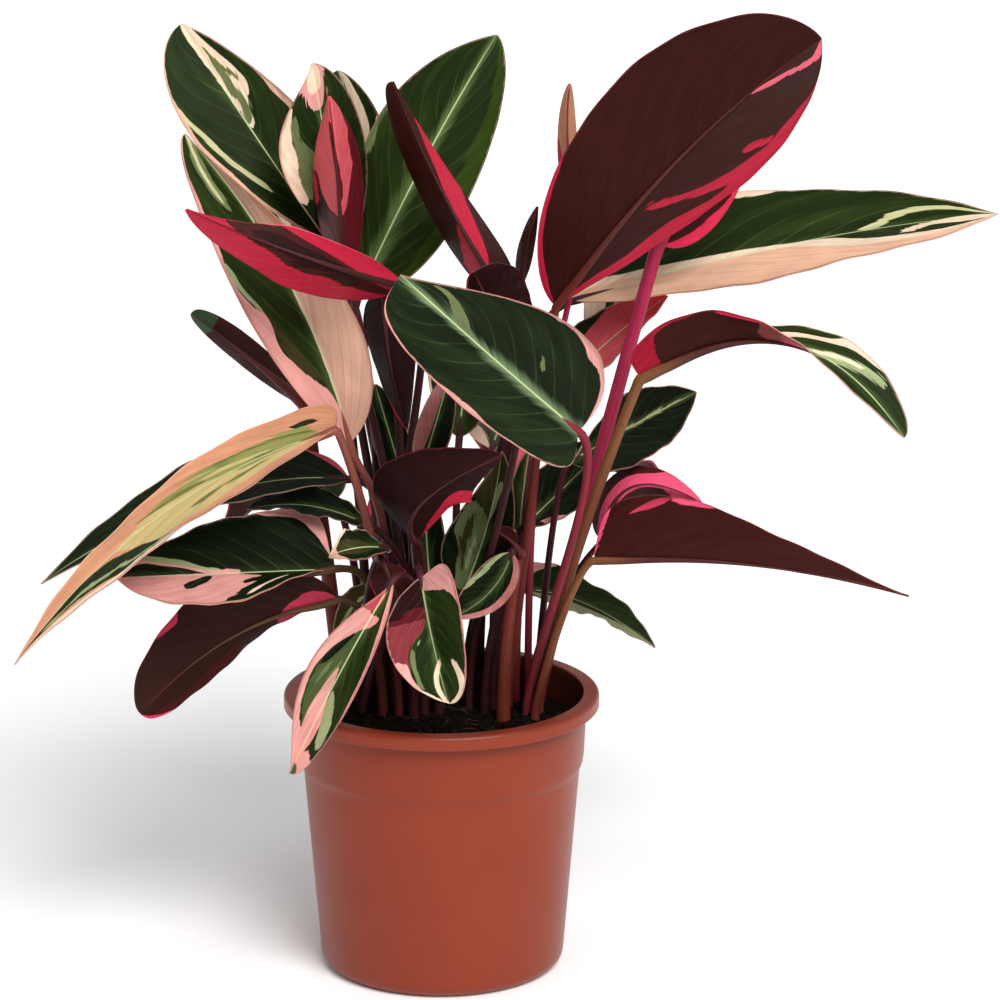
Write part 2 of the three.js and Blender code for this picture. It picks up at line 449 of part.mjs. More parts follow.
function leafGeometry(leaf) {
  const { stalk, midrib } = spinesOf(leaf);
  const positions = [];
  const triangles = [];
  const add = (ring) => {
    const first = positions.length / 3;
    for (const p of ring) positions.push(p.x, p.y, p.z);
    return first;
  };
  const sections = BLADE.stations.map((u) => bladeSection(leaf, midrib, u));
  const baseFace = new THREE.Vector3(...leaf.face[0]);
  const rings = stalkRings(leaf, stalk, frameAt(midrib.getTangent(0), baseFace).up);
  const stalkStarts = rings.map(add);
  const bladeStarts = sections.map(add);
  const apex = add([new THREE.Vector3(...leaf.tip)]);
  const five = STALK.sides;
  const ten = 2 * BLADE.columns.length;

  // Foot cap, then the stalk's sides.
  for (let i = 1; i < five - 1; i += 1) {
    triangles.push(stalkStarts[0], stalkStarts[0] + i + 1, stalkStarts[0] + i);
  }
  for (let j = 0; j + 1 < stalkStarts.length; j += 1) {
    for (let i = 0; i < five; i += 1) {
      const a = stalkStarts[j] + i;
      const b = stalkStarts[j] + ((i + 1) % five);
      const c = stalkStarts[j + 1] + i;
      const d = stalkStarts[j + 1] + ((i + 1) % five);
      triangles.push(a, b, c, b, d, c);
    }
  }
  // The stalk widens into the blade: one point of its ring serves two of the blade's.
  const last = stalkStarts[stalkStarts.length - 1];
  for (let i = 0; i < five; i += 1) {
    const p = last + i;
    const q = last + ((i + 1) % five);
    const b0 = bladeStarts[0] + 2 * i;
    const b1 = bladeStarts[0] + 2 * i + 1;
    const b2 = bladeStarts[0] + ((2 * i + 2) % ten);
    triangles.push(p, b1, b0, p, b2, b1, p, q, b2);
  }
  // The blade, split alike on both faces, and its tip.
  for (let j = 0; j + 1 < bladeStarts.length; j += 1) {
    for (let i = 0; i < ten; i += 1) {
      const a = bladeStarts[j] + i;
      const b = bladeStarts[j] + ((i + 1) % ten);
      const c = bladeStarts[j + 1] + i;
      const d = bladeStarts[j + 1] + ((i + 1) % ten);
      if (i < BLADE.columns.length) triangles.push(a, b, c, b, d, c);
      else triangles.push(a, b, d, a, d, c);
    }
  }
  const end = bladeStarts[bladeStarts.length - 1];
  for (let i = 0; i < ten; i += 1) triangles.push(end + i, end + ((i + 1) % ten), apex);

  const geometry = new THREE.BufferGeometry();
  geometry.setAttribute('position', new THREE.Float32BufferAttribute(positions, 3));
  geometry.setIndex(triangles);
  return geometry;
}

// ---- Assembly ----

function named(name, geometry, colour, roughness) {
  const material = new THREE.MeshStandardMaterial({ color: colour, roughness, metalness: 0 });
  const mesh = new THREE.Mesh(geometry, material);
  mesh.name = name;
  return mesh;
}

const plant = new THREE.Group();
plant.add(named('pot', potGeometry(), COLOURS.pot, 0.5));
plant.add(named('soil', soilGeometry(), COLOURS.soil, 0.95));
for (const leaf of LEAVES) {
  plant.add(named(`leaf_${leaf.name}`, leafGeometry(leaf), COLOURS[leaf.tone], 0.4));
}

export default plant;
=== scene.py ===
"""Potted prayer plant, Stromanthe 'Triostar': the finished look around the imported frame.

The blades follow the same table and the same formula as the source, at a finer resolution.
The tables and the shapes are in millimetres, and the meshes in metres.
"""
import math
import random
from collections import namedtuple

import bmesh
import bpy
import numpy as np
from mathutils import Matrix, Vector, noise


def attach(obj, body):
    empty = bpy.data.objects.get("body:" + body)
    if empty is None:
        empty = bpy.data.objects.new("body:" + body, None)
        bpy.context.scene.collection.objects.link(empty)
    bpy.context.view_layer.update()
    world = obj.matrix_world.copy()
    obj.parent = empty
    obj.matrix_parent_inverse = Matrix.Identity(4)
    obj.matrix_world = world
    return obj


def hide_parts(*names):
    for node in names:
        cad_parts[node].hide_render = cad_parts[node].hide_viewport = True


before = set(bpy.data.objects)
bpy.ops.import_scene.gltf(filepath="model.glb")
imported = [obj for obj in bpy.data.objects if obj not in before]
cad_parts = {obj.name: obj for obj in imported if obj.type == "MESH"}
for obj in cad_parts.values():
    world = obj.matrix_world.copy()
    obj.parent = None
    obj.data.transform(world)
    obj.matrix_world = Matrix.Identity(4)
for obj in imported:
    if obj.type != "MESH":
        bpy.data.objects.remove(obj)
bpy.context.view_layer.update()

MM = 0.001
SOIL_TOP = 150.0

# ---- The leaves ----

# foot: where the stalk stands in the soil. base, mid, tip: the midrib. left, right: greatest half
# width, and how the outline opens at the base and closes at the tip. face: the upper face's
# direction, or two for base and tip. fold: degrees that each half is raised by, at base and tip.
# stalk: its radius at the soil and at the blade. rise, reach: where it bends, as a share of its
# height and as a distance before the blade. ground: the blade's own colour, in TONES. stem: the
# stalk's colour. rib, edge: how strongly the pale midrib and the pale margin show. halo: strength,
# half width and colour of the pale band along the midrib of a green face.
Leaf = namedtuple(
    "Leaf",
    "foot base mid tip left right face fold tone stalk rise reach ground stem rib edge halo",
    defaults=((3.2, 2.2), 0.5, None, "green", "dark", 0.85, 0.5, (0.35, 6.5, (90, 112, 62))))
LEAVES = {
    "crown_maroon": Leaf((40, 34), (68, 9, 403), (136, -33, 498), (214, -90, 578), (67, 1.15, 1),
        (56, .59, .52), (0, .8, .5), (20, 24), "maroon", stalk=(3, 2.4), rise=.05, reach=3,
        stem="red"),
    "crown_rear": Leaf((57, 30), (129, 42, 434), (157, 60, 478), (191, 70, 532), (28, .55, .8),
        (28, .55, .8), (0, 1, -.2), (20, 20), "maroon", stalk=(4.4, 4.2), rise=.05, reach=3,
        stem="magenta"),
    "right_long": Leaf((37, 62), (80, 73, 393), (207, 83, 425), (331, 54, 450), (49, .42, 1),
        (53, .62, .63), (-.2, -.4, .9), (12, 12), "green", stalk=(2.8, 2.2),
        halo=(.2, 6, (90, 112, 62))),
    "right_rose": Leaf((52, 41), (67, 68, 334), (99, 75, 366), (136, 75, 395), (24, .55, .8),
        (17, .55, .8), (-.6, -.6, .6), (5, 5), "pink", stalk=(2.4, 2), rise=.4, reach=20,
        ground="salmon", stem="magenta"),
    "front_green": Leaf((51, 14), (81, -30, 337), (30, -65, 390), (-21, -85, 442), (40, .18, .2),
        (45, .52, 1.19), ((.5, -.8, .1), (.4, -.9, .1)), (24, 15), "green", stalk=(3, 2.5),
        rise=.21, reach=37, ground="fern", stem="ruddy", halo=(.75, 7.5, (124, 146, 104))),
    "top_green": Leaf((-30, 48), (-47, 50, 406), (-9, 74, 480), (33, 110, 548), (41, .95, .98),
        (36, .45, .64), (.2, -.9, .4), (20, 20), "green", edge=.4, halo=(.7, 9, (96, 120, 66))),
    "top_left": Leaf((-38, 57), (-69, 70, 430), (-111, 85, 490), (-156, 100, 556), (35, .94, .53),
        (37, .35, .84), (0, -1, .3), (25, 15), "green", halo=(.15, 6, (90, 112, 62))),
    "left_tall": Leaf((-29, 33), (-53, -20, 328), (-91, 9, 422), (-152, 57, 497), (39, .8, .68),
        (35, .76, 1.79), (-.1, -.9, .3), (22, 55), "green", rise=.86, reach=32, stem="salmon"),
    "left_pink": Leaf((-33, 40), (-18, -22, 420), (-80, -86, 454), (-144, -54, 473),
        (37, .15, .26), (39, .26, .62), (-.5, .9, -.1), (60, 60), "pink", ground="maroon",
        edge=.1),
    "upright_rolled": Leaf((-18, 22), (-56, 12, 414), (-60, 9, 481), (-65, 25, 525), (35, .5, .6),
        (41, .45, .71), (0, 1, -.1), (64, 64), "pink", ground="wine", edge=.15),
    "spear_maroon": Leaf((22, 45), (36, 0, 412), (1, 0, 474), (-27, 0, 538), (36, .15, 1.02),
        (35, .3, .4), (-.1, 1, 0), (64, 66), "maroon", rise=.67, reach=51, edge=.15),
    "back_striped": Leaf((-45, 49), (-64, 48, 422), (-68, 59, 483), (-77, 70, 537),
        (32, 1.68, 1.51), (28, .6, .6), (0, -1, .3), (28, 28), "cream", reach=49),
    "back_narrow": Leaf((-25, 57), (-54, 92, 413), (-50, 104, 473), (-63, 118, 525), (26, .6, .5),
        (22, .6, .8), (0, -1, .3), (25, 25), "green"),
    "hanging_dark": Leaf((-21, 35), (-31, -3, 421), (-30, -21, 384), (-20, 8, 329), (25, .15, .53),
        (26, .5, .8), (.1, 1, -.2), (48, 48), "maroon", reach=12, ground="dusk"),
    "inner_pink": Leaf((-10, 27), (-11, -20, 311), (-2, -22, 342), (6, -25, 371), (12, .5, .7),
        (13, .5, .7), (-.1, -1, -.1), (30, 30), "pink", ground="deep"),
    # cup_dark: its strong pale margin is partly its own colour and partly a painted highlight
    # along the rim
    "cup_dark": Leaf((-11, 16), (-14, -37, 273), (-9, -69, 305), (36, -75, 334), (38, .5, .6),
        (40, .15, .7), (.2, .9, .3), (40, 45), "maroon", ground="dusk", edge=.35),
    "small_olive": Leaf((-39, 31), (-33, -38, 269), (-48, -60, 275), (-64, -59, 270),
        (13, .45, .6), (13, .45, .6), (.1, -.5, .8), (14, 14), "green", rise=.58, reach=29,
        ground="deep"),
    "low_maroon": Leaf((-49, 21), (-35, -39, 262), (-28, -51, 250), (-16, -47, 213), (15, .5, .7),
        (15, .5, .7), (0, .9, -.5), (40, 40), "maroon"),
    "curl_front": Leaf((-17, 9), (-11, -68, 259), (-4, -88, 227), (5, -92, 190), (28, .15, .44),
        (30, 1.02, 1.09), (-.1, -1, .2), (38, 30), "green", reach=27, rib=.5),
    "droop_front": Leaf((-2, 18), (-27, -80, 260), (-55, -104, 216), (-86, -115, 155),
        (19, .82, .56), (24, 1.8, 1.41), (0, -1, .3), (40, 40), "green"),
    "left_cream": Leaf((-26, 14), (-60, -53, 344), (-163, -60, 294), (-242, -122, 223),
        (36, .92, 1.21), (31, .18, 1.05), (-.4, -.3, .9), (2, 0), "cream", stalk=(3, 2.4),
        rise=.37, reach=3, ground="orange", stem="salmon"),
    "left_dark": Leaf((-43, 40), (-55, 7, 299), (-142, -8, 291), (-235, -35, 246), (20, .5, .8),
        (36, .67, 1.22), (-.2, -.3, .9), (5, 5), "green", rise=.6, reach=34, ground="deep",
        edge=.3, halo=(.1, 6, (90, 112, 62))),
    "left_small": Leaf((-7, 45), (-44, -7, 275), (-80, -1, 285), (-115, -4, 283), (16, .5, .8),
        (20, 1, 1.02), (0, -.2, 1), (5, 5), "green", reach=24, ground="deep"),
    "left_pink_edged": Leaf((-35, 21), (-63, -24, 252), (-124, -43, 255), (-189, -56, 256),
        (47, 1.8, .91), (43, .15, .65), (.1, -.4, .9), (16, 12), "green", stalk=(2.8, 2.2),
        rise=.9, reach=17, ground="deep", stem="tan", halo=(.15, 6, (90, 112, 62))),
    "left_maroon": Leaf((-36, 9), (-61, -20, 232), (-122, -20, 211), (-178, -40, 168),
        (34, .5, .56), (25, .95, .43), ((-.5, .7, .5), (-.3, .9, .2)), (19, 10), "maroon",
        stalk=(2.6, 2.2), rise=.95, reach=3, ground="umber", stem="tan", edge=.15),
    "right_twisted": Leaf((58, 20), (118, 10, 359), (202, 0, 384), (271, -30, 333), (19, .6, .5),
        (22, .2, .75), ((-.2, .9, .5), (.2, -.8, .6)), (40, 5), "maroon", stalk=(3.4, 3.2),
        rise=.22, reach=3, stem="brown"),
    "right_maroon": Leaf((56, 7), (91, 5, 249), (181, -20, 254), (275, -40, 240), (28, .3, 1.2),
        (46, .25, 1.52), (.3, .9, .2), (57, 57), "maroon", stalk=(2.8, 2.3), rise=.15, reach=12,
        stem="brown"),
    "right_pink": Leaf((61, 43), (97, 34, 254), (115, 34, 287), (156, 29, 278), (20, .3, .8),
        (22, .3, .8), (.2, 1, -.2), (50, 50), "pink", stalk=(2.2, 1.8), rise=.69, reach=3,
        ground="maroon"),
    "right_back": Leaf((57, 50), (77, 54, 297), (115, 74, 315), (155, 94, 331), (21, 1.42, .85),
        (34, .55, .9), (-.3, -.6, .7), (5, 5), "green", stalk=(2.4, 2), rise=.05, reach=13,
        ground="deep"),
    "right_low": Leaf((46, 60), (50, 84, 209), (90, 94, 196), (131, 85, 171), (26, .25, .8),
        (31, .32, .9), (.3, -.2, 1), (9, 9), "green"),
    "inner_green": Leaf((14, 38), (10, 17, 219), (27, 32, 262), (36, 9, 315), (29, .61, 1.1),
        (20, .5, .7), (0, -1, .1), (32, 32), "green", ground="deep", rib=.6),
    "inner_hanging": Leaf((26, 21), (42, 3, 254), (29, -4, 232), (6, -8, 217), (14, .69, .96),
        (16, .5, .6), (-.1, -.9, .3), (30, 30), "green", reach=14, ground="deep", rib=.25),
    "inner_right": Leaf((37, 50), (50, 64, 255), (77, 72, 280), (100, 70, 305), (22, .55, .7),
        (22, .55, .7), (-.5, -.6, .6), (5, 5), "green", rise=.44, ground="deep"),
    "tiny_funnel": Leaf((37, 6), (46, 15, 251), (41, 10, 260), (31, 5, 268), (9, .5, .7),
        (9, .5, .7), (-.4, .9, .2), (50, 50), "maroon", stalk=(4.4, 3.4), rise=.61, reach=3,
        stem="red"),
    "left_curled": Leaf((-60, 34), (-83, 60, 332), (-114, 66, 357), (-151, 72, 385), (17, .5, .4),
        (13, .5, .5), (0, 1, -.2), (58, 50), "maroon", stalk=(5, 4.2), rise=.05, reach=3,
        stem="red"),
    "inner_back": Leaf((-21, 48), (-25, 50, 293), (-32, 52, 317), (-40, 55, 345), (16, .5, .7),
        (16, .5, .7), (.1, -1, .1), (40, 40), "green", ground="deep"),
    "inner_upright": Leaf((30, 31), (47, 35, 258), (49, 36, 283), (53, 41, 309), (9, .5, .7),
        (9, .5, .7), (-.3, -.9, .1), (30, 30), "green"),
    "new_peach": Leaf((45, 43), (79, 41, 454), (75, 46, 493), (76, 46, 529), (13, .4, .7),
        (13, .4, .7), (0, 1, -.1), (60, 60), "cream", stalk=(2.2, 1.8), rise=.65, ground="peach",
        stem="magenta"),
    "new_purple": Leaf((31, 40), (47, 30, 411), (51, 22, 437), (57, 22, 460), (10, .4, .8),
        (10, .4, .8), (0, 1, -.1), (60, 60), "maroon"),
    "rear_centre_tall": Leaf((8, 56), (10, 105, 300), (18, 150, 350), (30, 205, 368),
        (27, .55, .7), (27, .55, .7), (0, -.6, .8), (15, 15), "green"),
    "rear_centre_droop": Leaf((22, 55), (30, 115, 290), (38, 175, 285), (42, 230, 225),
        (27, .55, .8), (27, .55, .8), (0, 0, 1), (12, 12), "green"),
    "rear_right_droop": Leaf((28, 66), (70, 120, 262), (108, 175, 262), (142, 225, 215),
        (26, .55, .8), (26, .55, .8), (0, 0, 1), (12, 12), "green"),
    "rear_right_tall": Leaf((14, 48), (95, 130, 350), (130, 175, 420), (165, 235, 455),
        (28, .55, .7), (28, .55, .7), (-.4, -.4, .8), (15, 15), "green"),
    "rear_left_droop": Leaf((-48, 58), (-68, 112, 258), (-102, 160, 256), (-140, 205, 210),
        (26, .55, .8), (26, .55, .8), (0, 0, 1), (12, 12), "green"),
    "rear_left_tall": Leaf((-16, 65), (-60, 130, 360), (-95, 170, 420), (-125, 215, 450),
        (26, .55, .7), (26, .55, .7), (.4, -.4, .8), (15, 15), "green"),
    "rear_low": Leaf((-4, 60), (-15, 112, 240), (-25, 168, 230), (-30, 220, 150), (25, .55, .8),
        (25, .55, .8), (0, 0, 1), (12, 12), "green"),
    "hidden_tip": Leaf((16, 26), (43, -33, 385), (32, -27, 407), (20, -34, 433), (24, .6, .35),
        (15, .6, .6), (.2, 1, .1), (20, 20), "maroon", stalk=(2.6, 2), rise=.39, ground="dusk",
        edge=.2),
    "inner_dark": Leaf((0, 30), (-6, 20, 221), (-9, 27, 256), (-10, 36, 292), (11, .5, .7),
        (13, .5, .7), (0, -1, .1), (25, 25), "green", stalk=(2.6, 2), ground="deep"),
    "inner_left": Leaf((-48, 13), (-32, 17, 228), (-48, 22, 217), (-64, 17, 198), (11, .6, .7),
        (13, .6, .7), (-.2, -.5, .8), (12, 12), "green", stalk=(2.4, 2), rise=.3, reach=23,
        ground="moss"),
}

# Colours (red, green, blue out of 255) of the upper face and of the underside
TONES = {
    "green": ((27, 39, 11), (54, 20, 17)),
    "deep": ((15, 24, 8), (40, 15, 13)),
    "fern": ((21, 30, 14), (52, 20, 18)),
    "bright": ((44, 62, 14), (68, 27, 23)),
    "moss": ((58, 54, 27), (64, 31, 24)),
    "olive": ((106, 110, 54), (92, 52, 40)),
    "reed": ((72, 84, 48), (80, 44, 36)),
    "sage": ((104, 114, 74), (110, 66, 54)),
    "sedge": ((142, 142, 80), (110, 66, 52)),
    "ivory": ((192, 188, 142), (150, 92, 84)),
    "straw": ((198, 176, 118), (164, 112, 84)),
    "pale": ((150, 162, 116), (124, 58, 56)),
    "cream": ((234, 208, 180), (214, 44, 78)),
    "peach": ((224, 176, 152), (236, 96, 116)),
    "apricot": ((230, 180, 150), (222, 106, 106)),
    "orange": ((206, 144, 110), (192, 132, 98)),
    "pink": ((222, 156, 148), (222, 58, 92)),
    "blush": ((196, 122, 118), (184, 94, 98)),
    "salmon": ((204, 84, 92), (204, 84, 92)),
    "mauve": ((132, 84, 78), (132, 84, 78)),
    "rose": ((190, 76, 86), (186, 56, 82)),
    "berry": ((128, 50, 56), (128, 50, 56)),
    "crimson": ((180, 32, 56), (186, 34, 60)),
    "flush": ((240, 106, 126), (240, 106, 126)),
    "hot": ((226, 84, 114), (226, 80, 114)),
    "ruby": ((150, 24, 44), (150, 24, 44)),
    "wine": ((88, 20, 30), (92, 20, 30)),
    "maroon": ((70, 25, 24), (66, 24, 22)),
    "umber": ((44, 26, 18), (48, 24, 19)),
    "dusk": ((38, 13, 14), (38, 13, 14)),
    "leafy": ((60, 82, 56), (60, 82, 56)),
}

SHUT = 1.02    # just beyond the margin, where a marking ends
BEYOND = 1.3   # far enough beyond it that a frayed marking still covers the margin


def marking(hand):
    """A maker of markings that start from the left margin, from the right one or from neither.

    A row "u low high" says, in percent, that at u along the midrib the marking reaches from low
    to high across the blade: -100 is the left margin, 0 the midrib and 100 the right margin.
    Where low and high meet, it ends. A row "u edge" reaches from the margin to edge, and a row
    "u" ends the marking at the margin.
    """
    def make(tone, fray, text):
        rows = []
        for u, *ends in ([float(v) / 100 for v in row.split()] for row in text.split(",")):
            if not ends:
                ends = [hand * SHUT, hand * SHUT]
            elif len(ends) == 1:
                ends = [*ends, BEYOND] if hand > 0 else [-BEYOND, *ends]
            rows.append((u, *ends))
        return tone, fray, rows
    return make


left, right, patch = marking(-1), marking(1), marking(0)

# Markings of a blade, painted one over another
EDGES = [
    left("cream", .03, "0 -99, 30 -96, 60 -97, 100 -95"),
    right("cream", .03, "0 99, 30 97, 60 96, 100 95"),
]
REAR_A = [
    right("cream", .22, "12 10 10, 30 12 60, 50 30, 70 55, 85 80, 100 60"),
    patch("pale", .2, "35 -10 -10, 50 -45 -20, 65 -80 -50, 75 -100 -100"),
    left("cream", .06, "0 -80, 20 -92, 60 -96, 100 -90"),
]
REAR_B = [
    left("cream", .2, "0 -20, 15 -35, 30 -60, 45 -85, 100 -94"),
    right("peach", .2, "50 2 2, 65 3 40, 80 3 65, 100 -20"),
    patch("olive", .2, "20 10 10, 40 20 45, 60 50 75, 70 90 90"),
]
REAR_C = [
    left("cream", .16, "30 -2 -2, 50 -30 -5, 70 -70 -30, 85 -60, 100 -40"),
    right("pink", .1, "0 30, 10 70, 30 90, 60 96, 100 90"),
]

